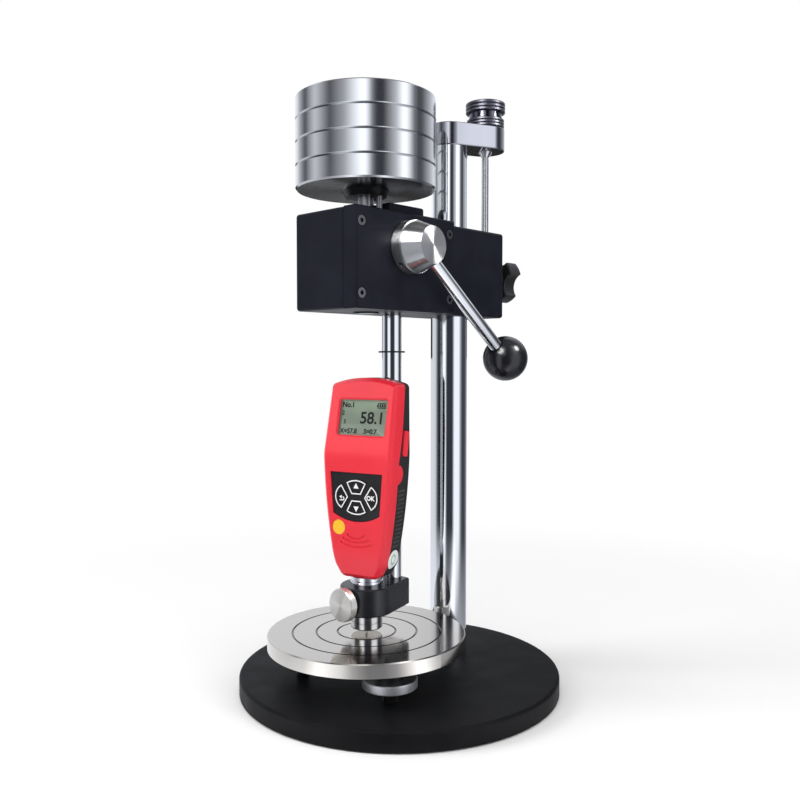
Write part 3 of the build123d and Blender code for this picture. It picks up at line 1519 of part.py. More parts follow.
# Rear shell: black half with screw posts and the opening of the side key
side_fall = (housing_half - housing_shoulder_half) / (shoulder_height - housing_deck_height)
side_key_half = housing_half - side_fall * (side_key_height - housing_deck_height)
back_fall = (housing_top_back - housing_bottom_back) / (housing_length + housing_wall)
side_key_plane = gauge_side.offset(side_key_half + side_key_proud)
with BuildPart() as rear_shell:
    add(housing.part)
    add(housing_room.part, mode=Mode.SUBTRACT)
    with BuildSketch(gauge_side):
        add(parting_region())
    extrude(amount=housing_margin, both=True, mode=Mode.SUBTRACT)
    for post_x, post_height in shell_posts:
        post_back_y = housing_bottom_back + back_fall * post_height - housing_wall / 2
        with BuildSketch(gauge_front.offset(-board_back_y)):
            with Locations((post_x, post_height)):
                Circle(post_radius)
        extrude(amount=-(post_back_y - board_back_y))
    with BuildSketch(gauge_front.offset(-board_back_y)):
        with Locations(*shell_posts):
            Circle(shell_screw_diameter / 2 + seat_clearance)
    extrude(amount=-housing_margin, mode=Mode.SUBTRACT)
    with BuildSketch(gauge_front.offset(-shell_screw_seat)):
        with Locations(*shell_posts):
            Circle(shell_screw_head_diameter / 2 + seat_clearance)
    extrude(amount=-housing_margin, mode=Mode.SUBTRACT)
    with BuildSketch(Plane.XY.offset(housing_bottom)):
        with Locations((0, load_y)):
            Circle(barrel_spigot_diameter / 2 + seat_clearance)
    extrude(amount=housing_wall + free_clearance, mode=Mode.SUBTRACT)
    with BuildSketch(side_key_plane):
        with Locations((side_key_back, side_key_height)):
            Rectangle(
                side_key_width + 2 * key_side_gap, side_key_length + 2 * key_side_gap, rotation=side_key_lean
            )
    extrude(amount=-side_key_depth, mode=Mode.SUBTRACT)
rear_shell.part.label = "rear_shell"
export_step(rear_shell.part, "parts/rear_shell.step")

# Clear window in its seat behind the display opening
with BuildPart() as display_window:
    with BuildSketch(deck_plane.offset(-window_seat)):
        RectangleRounded(window_width, window_tall, display_corner)
    extrude(amount=-window_thickness)
display_window.part.label = "display_window"
export_step(display_window.part, "parts/display_window.step")

# Display panel behind the window
with BuildPart() as display_panel:
    with BuildSketch(deck_plane.offset(-window_seat - window_thickness)):
        Rectangle(display_width + 2 * panel_lap, display_tall + 2 * panel_lap)
    extrude(amount=-panel_thickness)
display_panel.part.label = "display_panel"
export_step(display_panel.part, "parts/display_panel.step")

# Circuit board held between the posts of the two shells
with BuildPart() as circuit_board:
    with BuildSketch(gauge_front.offset(board_front)):
        with BuildLine():
            Polyline(
                (-board_half_width, board_low),
                (board_half_width, board_low),
                (board_half_width, board_wide_low),
                (board_wide_half, board_wide_low),
                (board_wide_half, board_high),
                (-board_wide_half, board_high),
                (-board_wide_half, board_wide_low),
                (-board_half_width, board_wide_low),
                close=True,
            )
        make_face()
        with Locations(*shell_posts):
            Circle(shell_screw_diameter / 2 + seat_clearance, mode=Mode.SUBTRACT)
    extrude(amount=-board_thickness)
circuit_board.part.label = "circuit_board"
export_step(circuit_board.part, "parts/circuit_board.step")

# Two round cells in the rear shell
battery_wall_y = housing_bottom_back + back_fall * battery_low - housing_wall
battery_y = battery_wall_y - free_clearance - battery_diameter / 2
battery_plane = Plane(origin=gauge_origin, x_dir=gauge_x, z_dir=(0, 0, 1)).offset(battery_low)
with BuildPart() as batteries:
    with BuildSketch(battery_plane):
        with Locations((battery_aside, battery_y), (-battery_aside, battery_y)):
            Circle(battery_diameter / 2)
    extrude(amount=battery_length)
batteries.part.label = "batteries"
export_step(batteries.part, "parts/batteries.step")

# Four screws that hold the shells together
with BuildPart() as shell_screws:
    with BuildSketch(gauge_front.offset(-shell_screw_seat)):
        with Locations(*shell_posts):
            Circle(shell_screw_head_diameter / 2)
    extrude(amount=-shell_screw_head_height)
    with BuildSketch(gauge_front.offset(-shell_screw_seat)):
        with Locations(*shell_posts):
            Circle(shell_screw_diameter / 2)
    extrude(amount=shell_screw_seat + shell_screw_reach)
shell_screws.part.label = "shell_screws"
export_step(shell_screws.part, "parts/shell_screws.step")

# Key panel: plate in the opening, flange behind the wall, four key holes
panel_plate = housing_wall - key_panel_recess
with BuildPart() as key_panel:
    with BuildSketch(key_panel_face):
        add(key_panel_shape(-free_clearance / 2))
    extrude(amount=-panel_plate)
    with BuildSketch(key_panel_face.offset(-panel_plate)):
        add(key_panel_shape(key_panel_lip))
    extrude(amount=-key_panel_flange)
    for key_name in key_names:
        with BuildSketch(key_panel_face):
            add(key_shape(key_name, key_side_gap))
        extrude(amount=-(panel_plate + key_panel_flange), mode=Mode.SUBTRACT)
key_panel.part.label = "key_panel"
export_step(key_panel.part, "parts/key_panel.step")

# Four keys, each kept in by a collar behind the panel
for key_name in key_names:
    with BuildPart() as key:
        with BuildSketch(key_panel_face.offset(key_proud)):
            add(key_shape(key_name, 0))
        extrude(amount=-(key_proud + panel_plate + key_panel_flange))
        with BuildSketch(key_panel_face.offset(-panel_plate - key_panel_flange)):
            add(key_shape(key_name, key_collar))
        extrude(amount=-key_collar_thickness)
    key.part.label = f"key_{key_name}"
    export_step(key.part, f"parts/key_{key_name}.step")

# Side key, kept in by its collar behind the rear shell's wall
with BuildPart() as side_key:
    with BuildSketch(side_key_plane):
        with Locations((side_key_back, side_key_height)):
            RectangleRounded(side_key_width, side_key_length, side_key_corner, rotation=side_key_lean)
    extrude(amount=-side_key_depth)
    with BuildSketch(side_key_plane.offset(-side_key_depth)):
        with Locations((side_key_back, side_key_height)):
            Rectangle(
                side_key_width + 2 * side_key_collar,
                side_key_length + 2 * side_key_collar,
                rotation=side_key_lean,
            )
    extrude(amount=side_key_collar_thickness)
side_key.part.label = "side_key"
export_step(side_key.part, "parts/side_key.step")

# Colour mark set flush in the front shell
with BuildPart() as colour_mark:
    with BuildSketch(gauge_front.offset(housing_front - mark_depth)):
        with Locations((-mark_aside, mark_height)):
            Circle(mark_diameter / 2 - seat_clearance)
    extrude(amount=mark_depth)
colour_mark.part.label = "colour_mark"
export_step(colour_mark.part, "parts/colour_mark.step")
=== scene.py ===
# %% [markdown]
# # A digital durometer in its constant-load stand
# A durometer reads the hardness of rubber and plastics. Here the red hand-held gauge hangs from a
# spindle under four steel weights, so that every test presses with the same load.
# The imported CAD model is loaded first. It gives every size and place, in metres, and this lesson
# dresses it: edges are softened, threads and knurls are cut, and each surface gets its finish.

# %% Load the frame
import json
from math import atan2, cos, pi, radians, sin, tau

import bmesh
import bpy
from mathutils import Matrix, Vector
from mathutils.bvhtree import BVHTree

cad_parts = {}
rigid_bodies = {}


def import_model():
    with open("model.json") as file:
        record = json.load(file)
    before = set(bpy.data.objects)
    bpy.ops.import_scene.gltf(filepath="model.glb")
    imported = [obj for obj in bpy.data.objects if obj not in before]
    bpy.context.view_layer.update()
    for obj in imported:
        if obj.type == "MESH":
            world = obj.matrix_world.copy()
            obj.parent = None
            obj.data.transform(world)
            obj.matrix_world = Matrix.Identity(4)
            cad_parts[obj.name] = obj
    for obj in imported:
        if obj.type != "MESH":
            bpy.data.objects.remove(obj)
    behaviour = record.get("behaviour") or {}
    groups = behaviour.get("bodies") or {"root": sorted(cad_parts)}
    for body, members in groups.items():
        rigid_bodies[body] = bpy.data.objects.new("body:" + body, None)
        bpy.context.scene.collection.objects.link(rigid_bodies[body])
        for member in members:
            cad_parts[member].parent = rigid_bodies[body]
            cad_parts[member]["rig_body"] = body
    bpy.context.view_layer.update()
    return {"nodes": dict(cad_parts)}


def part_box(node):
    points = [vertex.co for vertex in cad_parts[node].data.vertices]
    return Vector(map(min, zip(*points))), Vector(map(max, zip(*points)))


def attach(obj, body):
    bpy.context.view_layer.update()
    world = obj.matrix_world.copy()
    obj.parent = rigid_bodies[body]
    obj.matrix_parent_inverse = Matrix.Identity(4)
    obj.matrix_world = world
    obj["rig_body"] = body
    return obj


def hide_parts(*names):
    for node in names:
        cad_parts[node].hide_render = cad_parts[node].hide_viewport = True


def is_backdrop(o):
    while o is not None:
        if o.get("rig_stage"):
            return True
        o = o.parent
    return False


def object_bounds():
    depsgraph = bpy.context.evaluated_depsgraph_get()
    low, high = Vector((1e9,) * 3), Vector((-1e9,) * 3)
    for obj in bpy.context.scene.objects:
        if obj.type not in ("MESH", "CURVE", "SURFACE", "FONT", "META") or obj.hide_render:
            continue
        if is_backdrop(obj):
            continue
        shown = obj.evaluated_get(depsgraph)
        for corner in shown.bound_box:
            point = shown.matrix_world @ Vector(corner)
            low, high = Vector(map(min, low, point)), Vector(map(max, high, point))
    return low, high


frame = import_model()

scene = bpy.context.scene
mm = 0.001
up = Vector((0, 0, 1))

# %% [markdown]
# ## Making and measuring pieces
# Nearly everything on a bench stand is turned on a lathe or milled. A turned piece is a half profile
# that is spun about its axis. A milled or moulded piece starts as a copy of its CAD node, whose loose
# triangles are merged and whose sharp edges are beveled, because no real edge is perfectly sharp.

# %% Helpers for shapes
def measure(node):
    """Axis foot on the floor, radius, lowest and highest point of an upright round node."""
    low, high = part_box(node)
    foot = Vector(((low.x + high.x) / 2, (low.y + high.y) / 2, 0))
    return foot, (high.x - low.x) / 2, low.z, high.z


def turn(profile, foot, along=up, steps=128):
    """Spin a profile of (radius, height) points about an axis."""
    shape = bmesh.new()
    across = along.orthogonal().normalized()
    points = [shape.verts.new(foot + across * radius + along * height) for radius, height in profile]
    lines = [shape.edges.new(pair) for pair in zip(points, points[1:])]
    bmesh.ops.spin(
        shape, geom=points + lines, cent=foot, axis=along, angle=tau, steps=steps, use_merge=True,
    )
    bmesh.ops.remove_doubles(shape, verts=shape.verts, dist=1e-7)
    return shape


def copy_node(node):
    """Merged copy of a CAD node, with its flat faces made whole again."""
    shape = bmesh.new()
    shape.from_mesh(frame["nodes"][node].data)
    bmesh.ops.remove_doubles(shape, verts=shape.verts, dist=1e-6)
    bmesh.ops.dissolve_limit(shape, angle_limit=radians(0.4), verts=shape.verts, edges=shape.edges)
    return shape


def soften(shape, width, segments=2, angle=28):
    """Round every edge that turns by more than an angle."""
    sharp = [e for e in shape.edges if len(e.link_faces) == 2 and e.calc_face_angle() > radians(angle)]
    bmesh.ops.bevel(
        shape, geom=sharp, offset=width, offset_type="OFFSET", segments=segments,
        profile=0.5, affect="EDGES", clamp_overlap=True, material=-1,
    )
    return shape


def join(shape, other):
    """Add one shape to another."""
    part = bpy.data.meshes.new("part")
    other.to_mesh(part)
    other.free()
    shape.from_mesh(part)


def dress(name, shape, finish, node, stands_for=True):
    """Make a piece from a shape. It moves with a node's body, and may stand for that node."""
    bmesh.ops.recalc_face_normals(shape, faces=shape.faces)
    mesh = bpy.data.meshes.new(name)
    shape.to_mesh(mesh)
    shape.free()
    mesh.materials.append(finish)
    mesh.shade_smooth()
    mesh.set_sharp_from_angle(angle=radians(32))
    piece = bpy.data.objects.new(name, mesh)
    scene.collection.objects.link(piece)
    even = piece.modifiers.new("even_normals", "WEIGHTED_NORMAL")
    even.keep_sharp = True
    bpy.context.view_layer.objects.active = piece
    bpy.ops.object.modifier_apply(modifier=even.name)
    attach(piece, frame["nodes"][node]["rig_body"])
    if stands_for:
        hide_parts(node)
    print(name, len(mesh.polygons), "faces")
    return piece


# %% [markdown]
# ## Finishes
# Each finish is a small node tree on Object coordinates, so a pattern keeps its real size.
# Every surface gets some variation in its colour or roughness, and most get a fine bump.

# %% Helpers for finishes
def start_finish(name, colour, roughness, metallic=0.0):
    """New material with its main values set on the shader itself."""
    material = bpy.data.materials.new(name)
    material.use_nodes = True
    shader = material.node_tree.nodes["Principled BSDF"]
    shader.inputs["Base Color"].default_value = (*colour, 1)
    shader.inputs["Roughness"].default_value = roughness
    shader.inputs["Metallic"].default_value = metallic
    return material, material.node_tree, shader


def place(tree, scale=(1, 1, 1), centre=(0, 0, 0)):
    """Object coordinates about a centre, stretched."""
    where = tree.nodes.new("ShaderNodeTexCoord")
    mapping = tree.nodes.new("ShaderNodeMapping")
    mapping.inputs["Scale"].default_value = scale
    mapping.inputs["Location"].default_value = [-c * s for c, s in zip(centre, scale)]
    tree.links.new(where.outputs["Object"], mapping.inputs["Vector"])
    return mapping.outputs["Vector"]


def noise(tree, vector, scale, detail=3.0):
    """Noise whose value lies about 0.5."""
    texture = tree.nodes.new("ShaderNodeTexNoise")
    texture.inputs["Scale"].default_value = scale
    texture.inputs["Detail"].default_value = detail
    tree.links.new(vector, texture.inputs["Vector"])
    return texture.outputs["Fac"]


def spread(tree, value, low, high):
    """Map the middle of a noise to a range."""
    ranger = tree.nodes.new("ShaderNodeMapRange")
    ranger.inputs["From Min"].default_value = 0.3
    ranger.inputs["From Max"].default_value = 0.7
    ranger.inputs["To Min"].default_value = low
    ranger.inputs["To Max"].default_value = high
    tree.links.new(value, ranger.inputs["Value"])
    return ranger.outputs["Result"]


def two_tone(tree, shader, value, dark, light):
    """Colour that wanders between two tones."""
    ramp = tree.nodes.new("ShaderNodeValToRGB")
    ramp.color_ramp.elements[0].position = 0.3
    ramp.color_ramp.elements[1].position = 0.7
    ramp.color_ramp.elements[0].color = (*dark, 1)
    ramp.color_ramp.elements[1].color = (*light, 1)
    tree.links.new(value, ramp.inputs["Fac"])
    tree.links.new(ramp.outputs["Color"], shader.inputs["Base Color"])


def bump(tree, shader, value, depth, strength=1.0):
    """Small relief, in metres."""
    relief = tree.nodes.new("ShaderNodeBump")
    relief.inputs["Distance"].default_value = depth
    relief.inputs["Strength"].default_value = strength
    tree.links.new(value, relief.inputs["Height"])
    tree.links.new(relief.outputs["Normal"], shader.inputs["Normal"])


def lathe_value(tree, centre, along, scale):
    """Noise that runs in rings: it depends on the distance from an axis and along it."""
    keep = [0.0 if abs(a) > 0.5 else 1.0 for a in along]
    rest = [1.0 - k for k in keep]
    radius = tree.nodes.new("ShaderNodeVectorMath")
    radius.operation = "LENGTH"
    tree.links.new(place(tree, keep, centre), radius.inputs[0])
    height = tree.nodes.new("ShaderNodeVectorMath")
    height.operation = "DOT_PRODUCT"
    height.inputs[1].default_value = (1, 1, 1)
    tree.links.new(place(tree, rest, centre), height.inputs[0])
    total = tree.nodes.new("ShaderNodeMath")
    tree.links.new(radius.outputs["Value"], total.inputs[0])
    tree.links.new(height.outputs["Value"], total.inputs[1])
    rings = tree.nodes.new("ShaderNodeTexNoise")
    rings.noise_dimensions = "1D"
    rings.inputs["Scale"].default_value = scale
    rings.inputs["Detail"].default_value = 4.0
    tree.links.new(total.outputs["Value"], rings.inputs["W"])
    return rings.outputs["Fac"]


# %% Finishes of metal
def turned_metal(name, colour, roughness, centre, along=(0, 0, 1), streak=0.0, depth=2e-6, fine=9000.0):
    """Lathe-turned metal: rings in the roughness, and a highlight drawn out across them."""
    material, tree, shader = start_finish(name, colour, roughness, 1.0)
    rings = lathe_value(tree, centre, along, fine)
    tree.links.new(spread(tree, rings, roughness * 0.88, roughness * 1.15), shader.inputs["Roughness"])
    bump(tree, shader, rings, depth)
    if streak:
        shader.inputs["Anisotropic"].default_value = streak
        shader.inputs["Anisotropic Rotation"].default_value = 0.25
        tangent = tree.nodes.new("ShaderNodeTangent")
        tangent.direction_type = "RADIAL"
        tangent.axis = "XYZ"[[abs(a) > 0.5 for a in along].index(True)]
        tree.links.new(tangent.outputs["Tangent"], shader.inputs["Tangent"])
    return material


def plated(name, colour, roughness):
    """Polished plating with faint smears."""
    material, tree, shader = start_finish(name, colour, roughness, 1.0)
    smears = noise(tree, place(tree, (1, 1, 0.25)), 60.0)
    tree.links.new(spread(tree, smears, roughness * 0.6, roughness * 1.5), shader.inputs["Roughness"])
    return material


def dark_coat(name, dark, light, roughness, grain_scale, grain_depth, metallic=0.0, gloss=0.5):
    """Dark paint, anodising or plastic: two close tones, a cloudy gloss and a fine grain."""
    material, tree, shader = start_finish(name, dark, roughness, metallic)
    shader.inputs["Specular IOR Level"].default_value = gloss
    cloud = noise(tree, place(tree), 45.0)
    two_tone(tree, shader, cloud, dark, light)
    tree.links.new(spread(tree, cloud, roughness * 0.88, roughness * 1.12), shader.inputs["Roughness"])
    bump(tree, shader, noise(tree, place(tree), grain_scale, 2.0), grain_depth)
    return material


# %% Finishes of the stand
load_foot = measure("weight_1")[0]
base_black = dark_coat(
    "base_black_paint", (0.006, 0.006, 0.007), (0.010, 0.010, 0.011), 0.50, 900.0, 1.2e-5, gloss=0.08,
)
head_black = dark_coat(
    "head_black_anodised", (0.006, 0.0065, 0.012), (0.010, 0.011, 0.019), 0.42, 3200.0, 6e-6, gloss=0.17,
)
ball_black = dark_coat("ball_gloss_black", (0.008, 0.008, 0.011), (0.012, 0.012, 0.016), 0.21, 300.0, 2e-6)
oxide_black = dark_coat("black_oxide", (0.012, 0.012, 0.013), (0.03, 0.03, 0.032), 0.34, 2600.0, 5e-6, 0.6)
clamp_black = dark_coat(
    "clamp_arm_anodised", (0.008, 0.0085, 0.0115), (0.012, 0.013, 0.0165), 0.27, 2600.0, 5e-6,
)
rib_black = dark_coat(
    "grip_rib_plastic", (0.030, 0.030, 0.031), (0.042, 0.042, 0.043), 0.42, 2600.0, 1.0e-5,
)
knob_black = dark_coat(
    "star_knob_plastic", (0.010, 0.010, 0.011), (0.016, 0.016, 0.017), 0.48, 2200.0, 1.4e-5,
)
shell_black = dark_coat(
    "rear_shell_plastic", (0.014, 0.014, 0.015), (0.024, 0.024, 0.025), 0.55, 2600.0, 2.0e-5, gloss=0.3,
)
panel_black = dark_coat(
    "key_panel_plastic", (0.016, 0.016, 0.018), (0.022, 0.022, 0.025), 0.40, 3000.0, 6e-6, gloss=0.3,
)
pad_rubber = dark_coat("pad_rubber", (0.012, 0.012, 0.012), (0.02, 0.02, 0.02), 0.75, 1800.0, 3e-5)
column_chrome = plated("column_chrome", (0.80, 0.81, 0.83), 0.09)
spindle_chrome = plated("spindle_chrome", (0.78, 0.79, 0.81), 0.09)
arm_chrome = plated("arm_dark_chrome", (0.37, 0.37, 0.40), 0.09)
knob_chrome = plated("height_knob_black_chrome", (0.11, 0.11, 0.13), 0.13)
weight_steel = turned_metal(
    "weight_steel", (0.62, 0.625, 0.63), 0.19, load_foot, streak=0.5, depth=1e-7, fine=16000.0,
)
print("metal and dark finishes", len(bpy.data.materials))

# %% [markdown]
# ## Finishes of the gauge
# The gauge is moulded: a red front, a black grippy back, a grey-green display behind a clear window.
# Moulded plastic has a fine even grain from the mould, so its highlight is broad but not blurred.

# %% Finishes of plastic, print and display
def moulded(name, dark, light, roughness, coat_weight=0.0):
    """Coloured plastic with a fine mould grain."""
    material, tree, shader = start_finish(name, dark, roughness)
    two_tone(tree, shader, noise(tree, place(tree), 30.0), dark, light)
    grain = noise(tree, place(tree), 4200.0, 2.0)
    tree.links.new(spread(tree, grain, roughness * 0.85, roughness * 1.15), shader.inputs["Roughness"])
    bump(tree, shader, grain, 4e-6)
    shader.inputs["Coat Weight"].default_value = coat_weight
    shader.inputs["Coat Roughness"].default_value = 0.15
    return material


def clear_sheet(name):
    """Thin clear window: the display shows through, and the light glints on it by its angle."""
    material, tree, shader = start_finish(name, (0.9, 0.95, 0.92), 0.06)
    glint = tree.nodes.new("ShaderNodeBsdfGlossy")
    clear = tree.nodes.new("ShaderNodeBsdfTransparent")
    angle = tree.nodes.new("ShaderNodeLayerWeight")
    both = tree.nodes.new("ShaderNodeMixShader")
    clear.inputs["Color"].default_value = (0.96, 0.98, 0.97, 1)
    angle.inputs["Blend"].default_value = 0.12
    smear = noise(tree, place(tree), 160.0)
    tree.links.new(spread(tree, smear, 0.05, 0.12), glint.inputs["Roughness"])
    tree.links.new(angle.outputs["Facing"], both.inputs["Fac"])
    tree.links.new(clear.outputs["BSDF"], both.inputs[1])
    tree.links.new(glint.outputs["BSDF"], both.inputs[2])
    tree.links.new(both.outputs["Shader"], tree.nodes["Material Output"].inputs["Surface"])
    return material


def display_face(name):
    """Unlit display: grey-green, with the faint grid of its dots."""
    material, tree, shader = start_finish(name, (0.61, 0.70, 0.58), 0.55)
    two_tone(tree, shader, noise(tree, place(tree), 90.0), (0.59, 0.68, 0.56), (0.64, 0.73, 0.60))
    dots = tree.nodes.new("ShaderNodeTexVoronoi")
    dots.inputs["Scale"].default_value = 3200.0
    dots.inputs["Randomness"].default_value = 0.0
    tree.links.new(place(tree), dots.inputs["Vector"])
    bump(tree, shader, dots.outputs["Distance"], 1.5e-5)
    return material


# %% Finishes of the gauge
red_front = moulded("front_red_plastic", (0.79, 0.018, 0.038), (0.83, 0.022, 0.043), 0.34, 0.1)
yellow_spot = moulded("mark_yellow_plastic", (0.90, 0.50, 0.02), (0.95, 0.58, 0.03), 0.25, 0.3)
key_black = dark_coat(
    "key_black_plastic", (0.010, 0.010, 0.012), (0.016, 0.016, 0.018), 0.36, 3000.0, 4e-6, gloss=0.3,
)
white_print = moulded("white_print", (0.80, 0.80, 0.80), (0.86, 0.86, 0.86), 0.50)
display_ink = moulded("display_ink", (0.012, 0.016, 0.014), (0.020, 0.026, 0.022), 0.55)
label_white = moulded("label_white", (0.78, 0.79, 0.79), (0.84, 0.85, 0.85), 0.40)
label_green = moulded("label_green", (0.18, 0.48, 0.36), (0.24, 0.55, 0.42), 0.40)
board_green = moulded("board_green", (0.012, 0.12, 0.05), (0.02, 0.16, 0.07), 0.40)
cell_sleeve = moulded("cell_sleeve", (0.10, 0.11, 0.13), (0.15, 0.16, 0.18), 0.30, 0.5)
window_clear = clear_sheet("window_clear")
display_grey = display_face("display_grey_green")
print("gauge finishes made,", len(bpy.data.materials), "materials in all")

# %% [markdown]
# ## Finishes of each turned piece
# The marks of a lathe run about the piece's own axis, so each turned piece needs a finish with its own
# middle. The floors of the platform's grooves get a painted shade, and the ringed bands of the height
# knob are duller than its waist. Both follow from the place on the piece, by height or by radius.

# %% Platform with dark grooves
def axis_of(node):
    """Middle of a node's box, which lies on the axis of a turned piece."""
    low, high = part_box(node)
    return (low + high) / 2


bright = (0.64, 0.645, 0.65)
platform_colour = (0.715, 0.675, 0.615)
groove_shade = (0.20, 0.195, 0.19)
platform_steel = turned_metal(
    "platform_steel", platform_colour, 0.11, axis_of("platform"), streak=0.8, depth=2e-7,
)


def dark_grooves(material, colour, centre, top, depth, radius):
    """Painted shade: darker colour on the floors of ring grooves."""
    tree = material.node_tree
    split = tree.nodes.new("ShaderNodeSeparateXYZ")
    tree.links.new(place(tree), split.inputs["Vector"])
    below = tree.nodes.new("ShaderNodeMapRange")
    below.inputs["From Min"].default_value = top - depth * 0.1
    below.inputs["From Max"].default_value = top - depth * 0.7
    tree.links.new(split.outputs["Z"], below.inputs["Value"])
    away = tree.nodes.new("ShaderNodeVectorMath")
    away.operation = "LENGTH"
    tree.links.new(place(tree, (1, 1, 0), centre), away.inputs[0])
    inside = tree.nodes.new("ShaderNodeMath")
    inside.operation = "LESS_THAN"
    inside.inputs[1].default_value = radius
    tree.links.new(away.outputs["Value"], inside.inputs[0])
    share = tree.nodes.new("ShaderNodeMath")
    share.operation = "MULTIPLY"
    tree.links.new(below.outputs["Result"], share.inputs[0])
    tree.links.new(inside.outputs["Value"], share.inputs[1])
    both = tree.nodes.new("ShaderNodeMixRGB")
    both.inputs["Color1"].default_value = (*colour, 1)
    both.inputs["Color2"].default_value = (*groove_shade, 1)
    tree.links.new(share.outputs["Value"], both.inputs["Fac"])
    tree.links.new(both.outputs["Color"], tree.nodes["Principled BSDF"].inputs["Base Color"])


platform_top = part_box("platform")[1].z
groove_depth, groove_reach = 0.8 * mm, 62 * mm
# The floors of the platform's grooves get a painted shade.
dark_grooves(platform_steel, platform_colour, axis_of("platform"), platform_top, groove_depth, groove_reach)
print(platform_steel.name, "with dark grooves")

# %% Other turned pieces
hub_steel = turned_metal(
    "hub_steel", (0.46, 0.46, 0.465), 0.27, axis_of("lever_hub"), (1, 0, 0), 0.92, 1e-6,
)
thumb_steel = turned_metal(
    "thumb_screw_steel", (0.98, 0.945, 0.875), 0.42, axis_of("thumb_screw"), (0, 1, 0), 0.75, 1e-6,
)
foot_steel = turned_metal("foot_steel", (0.82, 0.82, 0.83), 0.11, axis_of("presser_foot"))
small_steel = turned_metal("small_parts_steel", bright, 0.22, (0, 0, 0))
barrel_chrome = plated("barrel_chrome", (0.80, 0.81, 0.83), 0.08)
rod_chrome = plated("lever_rod_chrome", (0.76, 0.77, 0.79), 0.12)
bush_brass = turned_metal("bush_brass", (0.72, 0.50, 0.20), 0.24, (0, 0, 0))
wheel_steel = turned_metal("wheel_steel", (0.80, 0.80, 0.80), 0.36, (0, 0, 0))
rod_steel = turned_metal("weight_rod_steel", (0.42, 0.42, 0.43), 0.36, load_foot)
screw_grey = turned_metal("cover_screw_steel", (0.24, 0.24, 0.25), 0.30, (0, 0, 0))
screw_steel = turned_metal("height_screw_steel", bright, 0.20, axis_of("height_screw"))
print(len(bpy.data.materials), "materials")


# %% Dull rings of the height knob
def dull_rings(material, centre, waist, band, polished=0.08, dull=0.36):
    """Polished at the waist's radius, dull out at the ringed bands."""
    tree = material.node_tree
    away = tree.nodes.new("ShaderNodeVectorMath")
    away.operation = "LENGTH"
    tree.links.new(place(tree, (1, 1, 0), centre), away.inputs[0])
    gloss = tree.nodes.new("ShaderNodeMapRange")
    gloss.inputs["From Min"].default_value = waist
    gloss.inputs["From Max"].default_value = band
    gloss.inputs["To Min"].default_value = polished
    gloss.inputs["To Max"].default_value = dull
    tree.links.new(away.outputs["Value"], gloss.inputs["Value"])
    tree.links.new(gloss.outputs["Result"], tree.nodes["Principled BSDF"].inputs["Roughness"])


knob_waist_limit, knob_band_limit = 13.9 * mm, 14.4 * mm
dull_rings(knob_chrome, axis_of("height_knob"), knob_waist_limit, knob_band_limit)
print(knob_chrome.name, "with dull rings")

# %% [markdown]
# ## Which CAD nodes stay
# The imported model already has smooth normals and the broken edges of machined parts. Where that is
# the whole shape, the node stays and only gets its finish.

# %% Dress the nodes that stay
def coat(finish, *nodes):
    """Put a finish on CAD nodes."""
    for node in nodes:
        frame["nodes"][node].material_slots[0].material = finish
    print(finish.name, "on", *nodes)


coat(base_black, "base_plate")
coat(pad_rubber, "base_pad")
coat(column_chrome, "column")
coat(spindle_chrome, "spindle")
coat(platform_steel, "platform")
coat(oxide_black, "column_screw", "arm_bolt", "arm_grub_screw", "hub_set_screws", "shell_screws")
coat(screw_grey, "cover_screws", "stop_screw")
coat(oxide_black, "retaining_ring", "weight_collar", "rod_bushes", "spindle_bushes")
coat(bush_brass, "pinion_bush", "clamp_pad")
coat(rod_steel, "weight_rod")
coat(small_steel, "clamp_stud", "crosshead", "pinion_shaft", "indenter", "indenter_spring")
coat(weight_steel, "weight_1", "weight_2", "weight_3", "weight_4")
coat(hub_steel, "lever_hub")
coat(rod_chrome, "lever_rod")
coat(ball_black, "lever_ball")
coat(barrel_chrome, "barrel")
coat(foot_steel, "presser_foot")
coat(red_front, "front_shell", "side_key")
coat(shell_black, "rear_shell")
coat(panel_black, "key_panel")
coat(key_black, "key_up", "key_down", "key_left", "key_right")
coat(window_clear, "display_window")
coat(display_grey, "display_panel")
coat(board_green, "circuit_board")
coat(cell_sleeve, "batteries")

# %% [markdown]
# ## Levelling wheels
# Three knurled wheels carry the platform and set it level. A diamond knurl could be a bump, but the
# rim is seen from the side, where only real relief changes the outline. The rim is spun in many
# columns and rows, and every second point is pressed in. The hub on top is left dark.

# %% Knurled wheels
def knurl(shape, foot, radius, low, high, rows, steps, depth, along=up):
    """Press in every second point of a rim, so that diamonds stand up."""
    across = along.orthogonal().normalized()
    aside = along.cross(across)
    for point in shape.verts:
        reach = point.co - foot
        height = reach.dot(along)
        outward = reach - along * height
        if abs(outward.length - radius) > 1e-6 or not low - 1e-6 < height < high + 1e-6:
            continue
        column = round(atan2(outward.dot(aside), outward.dot(across)) / tau * steps)
        row = round((height - low) / (high - low) * rows)
        if (column + row) % 2:
            point.co -= outward.normalized() * depth


def rim_points(radius, low, high, rows):
    """Points up a rim, one for each row of the knurl."""
    return [(radius, low + (high - low) * row / rows) for row in range(rows + 1)]


